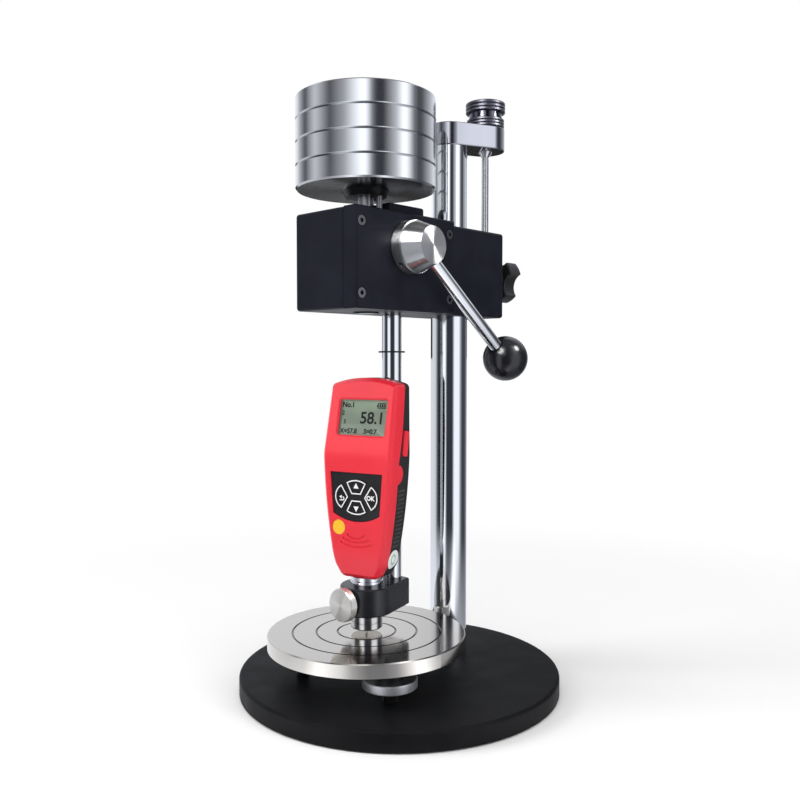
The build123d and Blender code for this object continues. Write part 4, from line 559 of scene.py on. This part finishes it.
wheel_bore = 5.1 * mm
wheel_hub = 10.0 * mm
wheel_rim_height = 6.6 * mm
edge = 0.6 * mm
wheel_rows, wheel_steps, wheel_knurl = 11, 240, 0.32 * mm
for name in ("levelling_wheel_1", "levelling_wheel_2", "levelling_wheel_3"):
    foot, radius, low, high = measure(name)
    rim_low, rim_high, rim_top = low + edge, low + wheel_rim_height - edge, low + wheel_rim_height
    profile = [(wheel_bore, low), (radius - edge, low)]
    profile += rim_points(radius, rim_low, rim_high, wheel_rows)
    profile += [(radius - edge, rim_top), (wheel_bore, rim_top), (wheel_bore, low)]
    wheel = turn(profile, foot, steps=wheel_steps)
    knurl(wheel, foot, radius, rim_low, rim_high, wheel_rows, wheel_steps, wheel_knurl)
    dress(name, wheel, wheel_steel, name)
    profile = [(wheel_bore, rim_top), (wheel_hub, rim_top), (wheel_hub, high - edge)]
    profile += [(wheel_hub - edge, high), (wheel_bore, high), (wheel_bore, rim_top)]
    # The hub's black is partly its own black oxide and partly painted shade from the platform above it.
    dress(name + "_hub", turn(profile, foot), oxide_black, name, stands_for=False)

# %% [markdown]
# ## Threads
# A thread is one small ridge that climbs as it goes round. Its section is spun about the axis with a
# lift at each step. It stands on a plain core, and its crest stays inside the CAD size. A rolled
# thread has wide crests, so from a distance the screw looks almost like a plain bright rod.

# %% Levelling studs and height screw
def thread(shape, foot, core, crest, low, high, pitch, steps=24):
    """Wind a closed ridge with a flat crest up a core."""
    turns = int((high - low) / pitch) - 1
    start = foot + up * low
    sunk = core - 0.1 * mm
    corners = [(sunk, 0), (sunk, pitch * 0.95), (crest, pitch * 0.76), (crest, pitch * 0.19)]
    points = [shape.verts.new(start + Vector((radius, 0, height))) for radius, height in corners]
    ridge = [shape.edges.new((points[i], points[i - 1])) for i in range(4)]
    bmesh.ops.spin(
        shape, geom=points + ridge, cent=start, axis=up, dvec=up * (pitch / steps),
        angle=tau * turns, steps=turns * steps,
    )
    bmesh.ops.holes_fill(shape, edges=[e for e in shape.edges if e.is_boundary], sides=4)


def rod(foot, radius, low, high, edge, steps=64):
    """Plain round rod with broken ends."""
    profile = [(0, low), (radius - edge, low), (radius, low + edge)]
    profile += [(radius, high - edge), (radius - edge, high), (0, high)]
    return turn(profile, foot, steps=steps)


stud_core, stud_crest, stud_pitch = 4.3 * mm, 5.0 * mm, 1.5 * mm
studs = bmesh.new()
for name in ("levelling_wheel_1", "levelling_wheel_2", "levelling_wheel_3"):
    foot = measure(name)[0]
    low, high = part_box("levelling_studs")[0].z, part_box("levelling_studs")[1].z
    core = rod(foot, stud_core, low, high, 0.6 * mm)
    thread(core, foot, stud_core, stud_crest, low, high, stud_pitch)
    join(studs, core)
dress("levelling_studs", studs, oxide_black, "levelling_studs")

foot, collar_radius, low, high = measure("height_screw")
screw_core, screw_crest, screw_pitch = 2.62 * mm, 3.0 * mm, 1.0 * mm
collar_neck, collar_height, collar_land, collar_gap = 3.3 * mm, 4.0 * mm, 0.4 * mm, 0.05 * mm
collar_high = measure("top_arm")[2]
collar_low = collar_high - collar_height
collar_top = collar_high - collar_gap
screw = rod(foot, screw_core, low, high, 0.4 * mm)
thread(screw, foot, screw_core, screw_crest, low, collar_low, screw_pitch)
collar = [(0, collar_low), (collar_neck, collar_low), (collar_radius, collar_high - collar_land)]
collar += [(collar_radius, collar_top), (0, collar_top)]
join(screw, turn(collar, foot, steps=96))
dress("height_screw", screw, screw_steel, "height_screw")

# %% [markdown]
# ## Height knob
# The knob on the height screw is turned from bar and plated black. Fingers hold it by rounded rings on
# its two bands, and a polished waist lies between the bands. Rings run all the way round, so they are
# simply part of the profile that is spun.

# %% Ringed height knob
def rings(radius, low, high, count, groove):
    """Profile of equal rounded rings with a small groove between each two."""
    pitch = (high - low) / count
    points = []
    for ring in range(count):
        for share, drop in ((0.0, 1.0), (0.10, 0.4), (0.24, 0.0), (0.76, 0.0), (0.90, 0.4), (1.0, 1.0)):
            points.append((radius - groove * drop, low + pitch * (ring + share)))
    return points


foot, radius, low, high = measure("height_knob")
low_radius, waist_radius, crown_radius = 15.5 * mm, 13.75 * mm, 12.0 * mm
waist_low, waist_high, shoulder = low + 7.4 * mm, low + 12.4 * mm, low + 20.9 * mm
ring_count, low_groove, high_groove, waist_step, crown_steps = 3, 0.7 * mm, 0.8 * mm, 0.1 * mm, 8
profile = [(0, low)] + rings(low_radius, low, waist_low, ring_count, low_groove)
profile += [(waist_radius, waist_low + waist_step), (waist_radius, waist_high - waist_step)]
profile += rings(radius, waist_high, shoulder, ring_count, high_groove) + [(crown_radius, shoulder)]
for step in range(1, crown_steps + 1):
    turned = step / crown_steps * pi / 2
    profile.append((crown_radius * cos(turned), shoulder + (high - shoulder) * sin(turned)))
height_knob = dress("height_knob", turn(profile, foot), knob_chrome, "height_knob")

# %% [markdown]
# ## Thumb screw
# The thumb screw grips the gauge's barrel. Its head is a knurled disc with a turned face that is a
# little hollow. The turned finish draws the highlight out along the radius, so it looks like a bow tie.

# %% Knurled thumb screw
low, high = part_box("thumb_screw")
forward = Vector((0, -1, 0))
tip = Vector(((low.x + high.x) / 2, high.y, (low.z + high.z) / 2))
head_radius, shank_radius = (high.x - low.x) / 2, 3.0 * mm
head_height, shank_edge, rim_edge, rim_bevel = 6.3 * mm, 0.4 * mm, 0.9 * mm, 0.8 * mm
hollow_radius, hollow_depth, hollow_steps = head_radius - 1.6 * mm, 0.5 * mm, 8
thumb_rows, thumb_steps, thumb_knurl = 7, 176, 0.25 * mm
face = high.y - low.y
under = face - head_height
band = (under + rim_edge, face - rim_edge)
profile = [(0, 0), (shank_radius - shank_edge, 0), (shank_radius, shank_edge), (shank_radius, under)]
profile += [(head_radius - rim_bevel, under)] + rim_points(head_radius, *band, thumb_rows)
profile += [(head_radius - rim_bevel, face), (hollow_radius, face)]
for step in range(1, hollow_steps + 1):
    inwards = step / hollow_steps
    profile.append((hollow_radius * (1 - inwards), face - hollow_depth * inwards))
thumb = turn(profile, tip, forward, thumb_steps)
knurl(thumb, tip, head_radius, *band, thumb_rows, thumb_steps, thumb_knurl, forward)
thumb_screw = dress("thumb_screw", thumb, thumb_steel, "thumb_screw")

# %% [markdown]
# ## Slide head and clamp arm
# These blocks are milled and black anodised. Their edges are only lightly broken, but that light
# line along each edge is what makes a black block readable, so every sharp edge is beveled.

# %% Soft edges on the milled blocks
for name, finish, width in (
    ("head_body", head_black, 0.6), ("head_cover", head_black, 0.5), ("top_cap", head_black, 0.5),
    ("clamp_arm", clamp_black, 0.4), ("top_arm", arm_chrome, 0.6), ("clamp_knob", knob_black, 0.3),
):
    dress(name, soften(copy_node(name), width * mm, 3), finish, name)

# %% [markdown]
# ## Marks on the gauge
# The gauge is turned a little towards the operator. Its own directions are needed to print on it:
# across, out of its front, and up. A flat face of a node gives the place, and prints lie just on it.

# %% Directions of the gauge and a face to print on
gauge_turned = radians(14)
across = Vector((cos(gauge_turned), sin(gauge_turned), 0))
outward = Vector((sin(gauge_turned), -cos(gauge_turned), 0))


def front_face(shape, towards=outward):
    """The widest face that looks one way."""
    return max(shape.faces, key=lambda face: max(face.normal.dot(towards), 0) ** 4 * face.calc_area())


def print_plane(node):
    """Matrix from a flat drawing to the front of a node: X across, Y up, Z out."""
    shape = copy_node(node)
    face = front_face(shape)
    middle = (face.calc_center_bounds()).copy()
    out = face.normal.copy()
    shape.free()
    rise = out.cross(across)
    turned = Matrix((across, rise, out)).transposed().to_4x4()
    return Matrix.Translation(middle) @ turned


def lettering(words, size, x, y, bold=0.0):
    """Flat mesh of some figures, placed on the drawing."""
    curve = bpy.data.curves.new("figures", "FONT")
    curve.body = words
    curve.size = size
    curve.offset = bold
    curve.align_x = "CENTER"
    curve.align_y = "CENTER"
    holder = bpy.data.objects.new("figures", curve)
    flat = bpy.data.meshes.new_from_object(holder)
    bpy.data.objects.remove(holder)
    shape = bmesh.new()
    shape.from_mesh(flat)
    bmesh.ops.translate(shape, verts=shape.verts, vec=(x, y, 0))
    return shape


def bar(shape, x, y, width, height):
    """Flat rectangle on the drawing."""
    made = bmesh.ops.create_grid(shape, x_segments=1, y_segments=1, size=0.5)["verts"]
    bmesh.ops.scale(shape, verts=made, vec=(width, height, 1))
    bmesh.ops.translate(shape, verts=made, vec=(x, y, 0))


# %% Figures on the display
print_lift = 0.03 * mm
figures = bmesh.new()
for words, size, x, y, bold in (
    ("58.1", 12.4, 7.6, -0.4, 0.26), ("X=57.8", 5.0, -12.2, -10.3, 0.20), ("S=0.7", 5.0, 7.0, -10.3, 0.20),
    ("No.1", 5.4, -14.2, 9.6, 0.24), ("2", 4.4, -18.2, 3.4, 0.16), ("5", 4.4, -16.2, -3.4, 0.16),
):
    join(figures, lettering(words, size * mm, x * mm, y * mm, bold * mm))
for x, y, width, height in (
    (15.0, 11.1, 6.9, 0.7), (15.0, 7.7, 6.9, 0.7), (18.2, 9.4, 0.7, 4.1), (11.8, 9.4, 0.7, 4.1),
    (11.1, 9.4, 0.9, 1.7), (13.6, 9.4, 1.3, 2.2), (15.3, 9.4, 1.3, 2.2), (16.9, 9.4, 1.1, 2.2),
):
    bar(figures, x * mm, y * mm, width * mm, height * mm)
plane = print_plane("display_panel")
bmesh.ops.translate(figures, verts=figures.verts, vec=(0, 0, print_lift))
bmesh.ops.transform(figures, matrix=plane, verts=figures.verts)
dress("display_figures", figures, display_ink, "display_panel", stands_for=False)

# %% [markdown]
# ## Printed keys
# Each key carries a white outline and a sign. The outline is made from the key's own front face:
# it is inset twice, and only the ring between the two insets is kept. A dark ring of painted shade in the
# gap round the display's window is made in the same way.

# %% Outlines and signs of the keys
def outline(node, margin, width, lift):
    """Thin ring inside the edge of a node's front face."""
    shape = copy_node(node)
    face = front_face(shape)
    out = face.normal.copy()
    bmesh.ops.inset_region(shape, faces=[face], thickness=margin, use_even_offset=True)
    ring = bmesh.ops.inset_region(shape, faces=[face], thickness=width, use_even_offset=True)["faces"]
    kept = set(ring)
    bmesh.ops.delete(shape, geom=[f for f in shape.faces if f not in kept], context="FACES")
    bmesh.ops.translate(shape, verts=shape.verts, vec=out * lift)
    return shape


def arrow_head(shape, x, y, radius, turned):
    """Flat triangle on the drawing that points one way."""
    made = bmesh.ops.create_circle(shape, cap_ends=True, segments=3, radius=radius)["verts"]
    bmesh.ops.rotate(shape, verts=made, matrix=Matrix.Rotation(turned, 3, "Z"))
    bmesh.ops.translate(shape, verts=made, vec=(x, y, 0))


def hook(shape, x, y, radius, width):
    """Flat half ring on the drawing, open to the left."""
    low = shape.verts.new((x, y - radius, 0))
    high = shape.verts.new((x, y - radius + width, 0))
    line = shape.edges.new((low, high))
    bmesh.ops.spin(shape, geom=[low, high, line], cent=(x, y, 0), axis=(0, 0, 1), angle=pi, steps=16)


# %% Painted shade round the window, and prints of the keys
# Painted shade: a dark ring round the display's window stands in for the shade in the gap.
border_margin, border_width, border_lift = 0.05 * mm, 0.55 * mm, 0.02 * mm
border = outline("display_window", border_margin, border_width, border_lift)
dress("window_gap_shade", border, shell_black, "display_window", stands_for=False)
outline_margin, outline_width = 0.25 * mm, 0.9 * mm
for name in ("key_up", "key_down", "key_left", "key_right"):
    sign = bmesh.new()
    if name == "key_up":
        arrow_head(sign, 0, 0.4 * mm, 2.7 * mm, 0)
    if name == "key_down":
        arrow_head(sign, 0, -0.4 * mm, 2.7 * mm, pi)
    if name == "key_left":
        hook(sign, 0.9 * mm, -1.5 * mm, 1.6 * mm, 0.8 * mm)
        bar(sign, -0.4 * mm, -2.7 * mm, 2.7 * mm, 0.8 * mm)
        arrow_head(sign, -0.6 * mm, -0.3 * mm, 1.6 * mm, pi / 2)
    if name == "key_right":
        join(sign, lettering("OK", 4.5 * mm, -0.3 * mm, 0, bold=0.20 * mm))
    bmesh.ops.translate(sign, verts=sign.verts, vec=(0, 0, print_lift))
    bmesh.ops.transform(sign, matrix=print_plane(name), verts=sign.verts)
    join(sign, outline(name, outline_margin, outline_width, print_lift))
    dress(name + "_print", sign, white_print, name, stands_for=False)

# %% [markdown]
# ## Colour mark
# A round yellow mark is set in the front. It is slightly domed and catches one small highlight.

# %% Domed mark
def mark_dome(node, dome):
    """Round disc with a raised middle, on the place of a flat disc."""
    low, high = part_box(node)
    middle = (low + high) / 2
    radius = (high.z - low.z) / 2
    sunk, rim, steps = 0.4 * mm, 0.1 * mm, 8
    profile = [(0, -sunk), (radius, -sunk)]
    for step in range(steps + 1):
        turned = step / steps * pi / 2
        profile.append((radius * cos(turned), rim + dome * sin(turned)))
    return turn(profile, middle, outward, 64)


dress("colour_mark", mark_dome("colour_mark", 0.3 * mm), yellow_spot, "colour_mark")

# %% [markdown]
# ## Grip ribs and label
# Low ribs on both sides of the black shell keep the gauge from slipping in the hand, and a small round
# label is stuck on beside the barrel. Both follow a curved side. They are drawn flat first, with X to the
# back, Y up and Z as their height, and then every point is dropped onto the shell along a straight line.

# %% Ribs laid on the side
walls = copy_node("rear_shell")
join(walls, copy_node("front_shell"))
surface = BVHTree.FromBMesh(walls)
walls.free()
gauge_foot = Vector((load_foot.x, load_foot.y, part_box("front_shell")[0].z))


def lay_on_side(shape, side):
    """Drop a flat drawing onto one side of the gauge: 1 is right, -1 is left."""
    for point in shape.verts:
        back, height, lift = point.co
        start = gauge_foot - outward * back + up * height + across * (side * 60 * mm)
        hit = surface.ray_cast(start, across * -side)[0]
        point.co = hit + across * (side * lift)
    return shape


rib_count, rib_length, rib_width, rib_height = 14, 9.0 * mm, 1.9 * mm, 0.45 * mm
rib_back, lowest_rib, rib_pitch = 3.4 * mm, 24.0 * mm, 3.2 * mm
crest_reach, crest_half = 4.2 * mm, 0.6 * mm
ribs = bmesh.new()
for side in (-1, 1):
    drawing = bmesh.new()
    for row in range(rib_count):
        made = bmesh.ops.create_grid(drawing, x_segments=12, y_segments=4, size=0.5)["verts"]
        bmesh.ops.scale(drawing, verts=made, vec=(rib_length, rib_width, 1))
        crest = [v for v in made if abs(v.co.y) < crest_half and abs(v.co.x) < crest_reach]
        bmesh.ops.translate(drawing, verts=crest, vec=(0, 0, rib_height))
        bmesh.ops.translate(drawing, verts=made, vec=(rib_back, lowest_rib + rib_pitch * row, 0))
    join(ribs, lay_on_side(drawing, side))
dress("grip_ribs", ribs, rib_black, "rear_shell", stands_for=False)

# %% Label and its printed oval
label_back, label_height, label_lift, oval_lift = 3.0 * mm, 13.6 * mm, 0.06 * mm, 0.10 * mm
label_step, oval_radii, oval_stretch = 0.9 * mm, (2.2 * mm, 2.7 * mm, 3.2 * mm), 1.3
flat_middle = Vector((0, 0, 0))
label = turn([(step * label_step, 0) for step in range(9)], flat_middle, up, 48)
bmesh.ops.translate(label, verts=label.verts, vec=(label_back, label_height, label_lift))
dress("side_label", lay_on_side(label, 1), label_white, "rear_shell", stands_for=False)
oval = turn([(radius, 0) for radius in oval_radii], flat_middle, up, 48)
bmesh.ops.scale(oval, verts=oval.verts, vec=(1, oval_stretch, 1))
bmesh.ops.translate(oval, verts=oval.verts, vec=(label_back, label_height, oval_lift))
dress("side_label_print", lay_on_side(oval, 1), label_green, "rear_shell", stands_for=False)

# %% [markdown]
# ## Studio
# The photograph is a cut-out on white. A pale floor takes the soft shadow and fades into a white
# surround. Large soft lamps stand to both sides. Chrome and turned steel only look like metal when
# they mirror something dark as well, so a wall with dark and bright strips stands all around. It is
# seen only in reflections.

# %% Floor
def add_stage(name, shape, finish):
    """Add a thing that isn't part of the object."""
    mesh = bpy.data.meshes.new(name)
    shape.to_mesh(mesh)
    shape.free()
    mesh.materials.append(finish)
    thing = bpy.data.objects.new(name, mesh)
    scene.collection.objects.link(thing)
    thing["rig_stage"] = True
    return thing


def add_rays(tree):
    """1 for rays that should see the white surround: from the camera, in metal and through glass."""
    path = tree.nodes.new("ShaderNodeLightPath")
    first = tree.nodes.new("ShaderNodeMath")
    second = tree.nodes.new("ShaderNodeMath")
    second.use_clamp = True
    tree.links.new(path.outputs["Is Camera Ray"], first.inputs[0])
    tree.links.new(path.outputs["Is Glossy Ray"], first.inputs[1])
    tree.links.new(first.outputs["Value"], second.inputs[0])
    tree.links.new(path.outputs["Is Transmission Ray"], second.inputs[1])
    return second.outputs["Value"]


def pale_floor():
    """Pale floor near the object, fading to plain white further off."""
    material, tree, shader = start_finish("pale_floor", (0.86, 0.86, 0.86), 0.9)
    shader.inputs["Specular IOR Level"].default_value = 0.0
    distance = tree.nodes.new("ShaderNodeVectorMath")
    distance.operation = "LENGTH"
    tree.links.new(place(tree, (1, 1, 0)), distance.inputs[0])
    fade = tree.nodes.new("ShaderNodeMapRange")
    fade.interpolation_type = "SMOOTHSTEP"
    fade.inputs["From Min"].default_value = 0.16
    fade.inputs["From Max"].default_value = 0.75
    tree.links.new(distance.outputs["Value"], fade.inputs["Value"])
    seen = tree.nodes.new("ShaderNodeMath")
    seen.operation = "MULTIPLY"
    tree.links.new(fade.outputs["Result"], seen.inputs[0])
    tree.links.new(add_rays(tree), seen.inputs[1])
    glow = tree.nodes.new("ShaderNodeEmission")
    glow.inputs["Strength"].default_value = 1.0
    both = tree.nodes.new("ShaderNodeMixShader")
    tree.links.new(seen.outputs["Value"], both.inputs["Fac"])
    tree.links.new(shader.outputs["BSDF"], both.inputs[1])
    tree.links.new(glow.outputs["Emission"], both.inputs[2])
    tree.links.new(both.outputs["Shader"], tree.nodes["Material Output"].inputs["Surface"])
    return material


ground = bmesh.new()
bmesh.ops.create_circle(ground, cap_ends=True, segments=96, radius=6.0)
add_stage("floor", ground, pale_floor())
print("floor")

# %% [markdown]
# ## Wall that only gloss sees
# A strip is a light beside a dark flag in the studio. Bearings and levels are chosen so that the bright
# and dark bands on the metal lie about where the photograph shows them: one set near the floor for the
# platform's rim, one above it for column, spindle and gauge, and a high one for weights and top arm. At
# its foot the wall slopes inwards, so that low rays meet the first set. A dim lid closes the wall, and
# the underside of the weights mirrors a dark card behind the stand.

# %% Strips of the wall
def strips(tree, share, levels):
    """Bright and dark strips round the wall, a little cool, from bearings in degrees and levels."""
    ramp_node = tree.nodes.new("ShaderNodeValToRGB")
    tree.links.new(share, ramp_node.inputs["Fac"])
    ramp = ramp_node.color_ramp
    ramp.elements.remove(ramp.elements[0])
    ramp.elements[0].position = 0.0
    for bearing, level in levels:
        stop = ramp.elements.new((bearing + 180) / 360)
        stop.color = (level * 0.94, level * 0.97 + 0.001, level * 1.03 + 0.012, 1)
    return ramp_node.outputs["Color"]


floor_strips = (
    (-180, 1.0), (-165, 1.0), (-118, 1.0), (-100, 1.2), (-89, 1.8), (-75, 1.2), (-62, 0.6),
    (-50, 0.3), (-38, 0.3), (-27, 0.5), (-14, 1.4), (-4, 1.9), (8, 1.1), (23, 0.45), (45, 0.4),
    (70, 0.35), (84, 0.35), (100, 0.6), (130, 0.9), (180, 1.0),
)
low_strips = (
    (-180, 0.85), (-165, 0.8), (-150, 0.8), (-138, 0.4), (-126, 0.05), (-102, 0.05), (-94, 0.6),
    (-86, 1.25), (-70, 1.25), (-63, 0.4), (-57, 0.04), (-20, 0.04), (-13, 0.5), (-6, 1.15),
    (24, 1.15), (34, 0.5), (44, 0.06), (74, 0.07), (88, 0.25), (100, 0.4), (118, 0.5), (132, 0.8),
    (180, 0.85),
)
high_strips = (
    (-180, 1.1), (-165, 0.55), (-148, 0.08), (-125, 0.9), (-99, 0.1), (-77, 0.55), (-50, 2.0),
    (-46, 1.6), (-39, 0.3), (-33, 0.05), (-22, 0.04), (-1, 0.8), (12, 2.0), (18, 1.6), (30, 0.3),
    (38, 0.1), (50, 0.1), (85, 0.85), (105, 1.2), (180, 1.1),
)

print(len(floor_strips), len(low_strips), len(high_strips), "edges of strips")


# %% Materials of the wall and cards
def reflection_wall():
    """Dark studio wall with soft bright strips, which only metal and gloss see."""
    material = bpy.data.materials.new("reflection_wall")
    material.use_nodes = True
    tree = material.node_tree
    tree.nodes.remove(tree.nodes["Principled BSDF"])
    split = tree.nodes.new("ShaderNodeSeparateXYZ")
    tree.links.new(place(tree), split.inputs["Vector"])
    bearing = tree.nodes.new("ShaderNodeMath")
    bearing.operation = "ARCTAN2"
    tree.links.new(split.outputs["Y"], bearing.inputs[0])
    tree.links.new(split.outputs["X"], bearing.inputs[1])
    share = tree.nodes.new("ShaderNodeMapRange")
    share.inputs["From Min"].default_value = -pi
    share.inputs["From Max"].default_value = pi
    tree.links.new(bearing.outputs["Value"], share.inputs["Value"])
    colour = strips(tree, share.outputs["Result"], floor_strips)
    for start, end, levels in ((0.002, 0.03, low_strips), (0.36, 0.42, high_strips)):
        rise = tree.nodes.new("ShaderNodeMapRange")
        rise.inputs["From Min"].default_value = start
        rise.inputs["From Max"].default_value = end
        tree.links.new(split.outputs["Z"], rise.inputs["Value"])
        both = tree.nodes.new("ShaderNodeMixRGB")
        tree.links.new(rise.outputs["Result"], both.inputs["Fac"])
        tree.links.new(colour, both.inputs["Color1"])
        tree.links.new(strips(tree, share.outputs["Result"], levels), both.inputs["Color2"])
        colour = both.outputs["Color"]
    glow = tree.nodes.new("ShaderNodeEmission")
    tree.links.new(colour, glow.inputs["Color"])
    tree.links.new(glow.outputs["Emission"], tree.nodes["Material Output"].inputs["Surface"])
    return material


def dim_card(name, level):
    """Plain dim card."""
    material = bpy.data.materials.new(name)
    material.use_nodes = True
    tree = material.node_tree
    tree.nodes.remove(tree.nodes["Principled BSDF"])
    glow = tree.nodes.new("ShaderNodeEmission")
    glow.inputs["Strength"].default_value = level
    tree.links.new(glow.outputs["Emission"], tree.nodes["Material Output"].inputs["Surface"])
    return material


def only_reflected(thing):
    """Hide a thing from everything but reflections."""
    thing.visible_camera = False
    thing.visible_diffuse = False
    thing.visible_transmission = False
    thing.visible_shadow = False


# %% Wall, lid and card
def new_points(made):
    """The points among what an operator made."""
    return [v for v in made["geom"] if isinstance(v, bmesh.types.BMVert)]


wall_radius, wall_height, skirt_share, skirt_slope, wall_gap = 0.45, 0.95, 0.3, 0.03, 0.0005
ring = bmesh.new()
bmesh.ops.create_circle(ring, segments=96, radius=wall_radius)
lines = list(ring.edges)
upper = new_points(bmesh.ops.extrude_edge_only(ring, edges=lines))
bmesh.ops.translate(ring, verts=upper, vec=(0, 0, wall_height))
inner = new_points(bmesh.ops.extrude_edge_only(ring, edges=lines))
bmesh.ops.scale(ring, verts=inner, vec=(skirt_share, skirt_share, 1))
bmesh.ops.translate(ring, verts=inner, vec=(0, 0, -skirt_slope))
bmesh.ops.translate(ring, verts=ring.verts, vec=(0, 0, skirt_slope + wall_gap))
only_reflected(add_stage("reflection_wall", ring, reflection_wall()))
lid = bmesh.new()
bmesh.ops.create_circle(lid, cap_ends=True, segments=96, radius=wall_radius)
bmesh.ops.translate(lid, verts=lid.verts, vec=(0, 0, skirt_slope + wall_height + wall_gap))
only_reflected(add_stage("reflection_lid", lid, dim_card("reflection_lid", 0.3)))
card_width, card_height, card_place, card_turn = 0.56, 0.15, (-0.25, 0.24, 0.335), radians(46)
card = bmesh.new()
bmesh.ops.create_grid(card, x_segments=1, y_segments=1, size=0.5)
bmesh.ops.scale(card, verts=card.verts, vec=(card_width, card_height, 1))
stand_up = Matrix.Rotation(card_turn, 4, "Z") @ Matrix.Rotation(pi / 2, 4, "X")
bmesh.ops.transform(card, verts=card.verts, matrix=stand_up)
bmesh.ops.translate(card, verts=card.verts, vec=card_place)
only_reflected(add_stage("dark_card", card, dim_card("dark_card", 0.04)))
print("wall, lid and card")

# %% White surround
world = bpy.data.worlds.new("surround")
scene.world = world
world.use_nodes = True
tree = world.node_tree
sky = tree.nodes["Background"]
sky.inputs["Color"].default_value = (1, 1, 1, 1)
brightness = tree.nodes.new("ShaderNodeMapRange")
brightness.inputs["To Min"].default_value = 0.45
brightness.inputs["To Max"].default_value = 1.0
tree.links.new(add_rays(tree), brightness.inputs["Value"])
tree.links.new(brightness.outputs["Result"], sky.inputs["Strength"])
print(world.name)

# %% [markdown]
# ## Lamps
# Three large soft lamps light the plain surfaces. Small round lamps stand inside the wall. They give the
# glints on lever, height knob and thumb screw and the glow on the gauge's upper front. Each is linked to
# those pieces only, because its mirror image on the weights and the column would cut through their
# strips. The ball and rod of the lever aren't mirrored, since the photograph's column doesn't show them.

# %% Helper for lamps
def add_lamp(name, where, towards, size, power):
    """Soft square lamp that looks at a point."""
    light = bpy.data.lights.new(name, "AREA")
    light.shape = "RECTANGLE"
    light.size, light.size_y = size
    light.energy = power
    lamp = bpy.data.objects.new(name, light)
    lamp.location = where
    lamp.visible_glossy = False
    lamp.rotation_euler = (Vector(towards) - Vector(where)).to_track_quat("-Z", "Y").to_euler()
    scene.collection.objects.link(lamp)
    return lamp


# %% Soft lamps
add_lamp("left_soft_lamp", (-0.9, -1.1, 0.9), (0, 0, 0.22), (0.7, 1.1), 16)
add_lamp("right_soft_lamp", (1.2, 0.1, 0.7), (0, 0, 0.22), (0.6, 1.1), 7)
add_lamp("top_soft_lamp", (0.1, -0.2, 1.5), (0, 0, 0.2), (1.0, 1.0), 10)
print("3 soft lamps")

# %% Small lamps for glints and glow
glossy = bpy.data.collections.new("pieces_with_glints")
for piece in (height_knob, thumb_screw):
    glossy.objects.link(piece)
for node in ("lever_ball", "lever_hub", "lever_rod"):
    glossy.objects.link(frame["nodes"][node])
ball_middle = axis_of("lever_ball")
fronts = bpy.data.collections.new("front_of_the_gauge")
fronts.objects.link(frame["nodes"]["front_shell"])
fronts.objects.link(frame["nodes"]["side_key"])
deck_level = 0.24
deck_middle = load_foot + up * (deck_level - load_foot.z)
for name, aim, bearing, height, reach, size, power, pieces in (
    ("left_glint_lamp", ball_middle, -81, 37, 0.34, 0.17, 1.2, glossy),
    ("right_glint_lamp", ball_middle, 25, 42, 0.34, 0.11, 0.9, glossy),
    ("deck_glow_lamp", deck_middle, -106, 16, 0.33, 0.25, 0.22, fronts),
):
    run, rise = cos(radians(height)), sin(radians(height))
    away = Vector((run * cos(radians(bearing)), run * sin(radians(bearing)), rise))
    glint = add_lamp(name, aim + away * reach, aim, (size, size), power)
    glint.data.shape = "DISK"
    glint.visible_camera = False
    glint.visible_diffuse = False
    glint.visible_glossy = True
    glint.light_linking.receiver_collection = pieces
for node in ("lever_ball", "lever_rod"):
    frame["nodes"][node].visible_glossy = False
print("3 small lamps")

# %% [markdown]
# ## Camera
# The place and lens were worked out from the photograph: the base's ellipse gives the height of the
# eye, and the upright column shows that the lens looks almost level.

# %% Camera
lens = bpy.data.cameras.new("camera")
lens.lens = 38.9
lens.sensor_width = 36.0
camera = bpy.data.objects.new("camera", lens)
camera.location = (0.46764, -0.48872, 0.25458)
view_line = Vector((-0.69016, 0.72239, -0.042856))
camera.rotation_euler = view_line.to_track_quat("-Z", "Y").to_euler()
scene.collection.objects.link(camera)
scene.camera = camera
scene.view_settings.view_transform = "Standard"
print("camera at", [round(v, 3) for v in camera.location])

low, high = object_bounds()
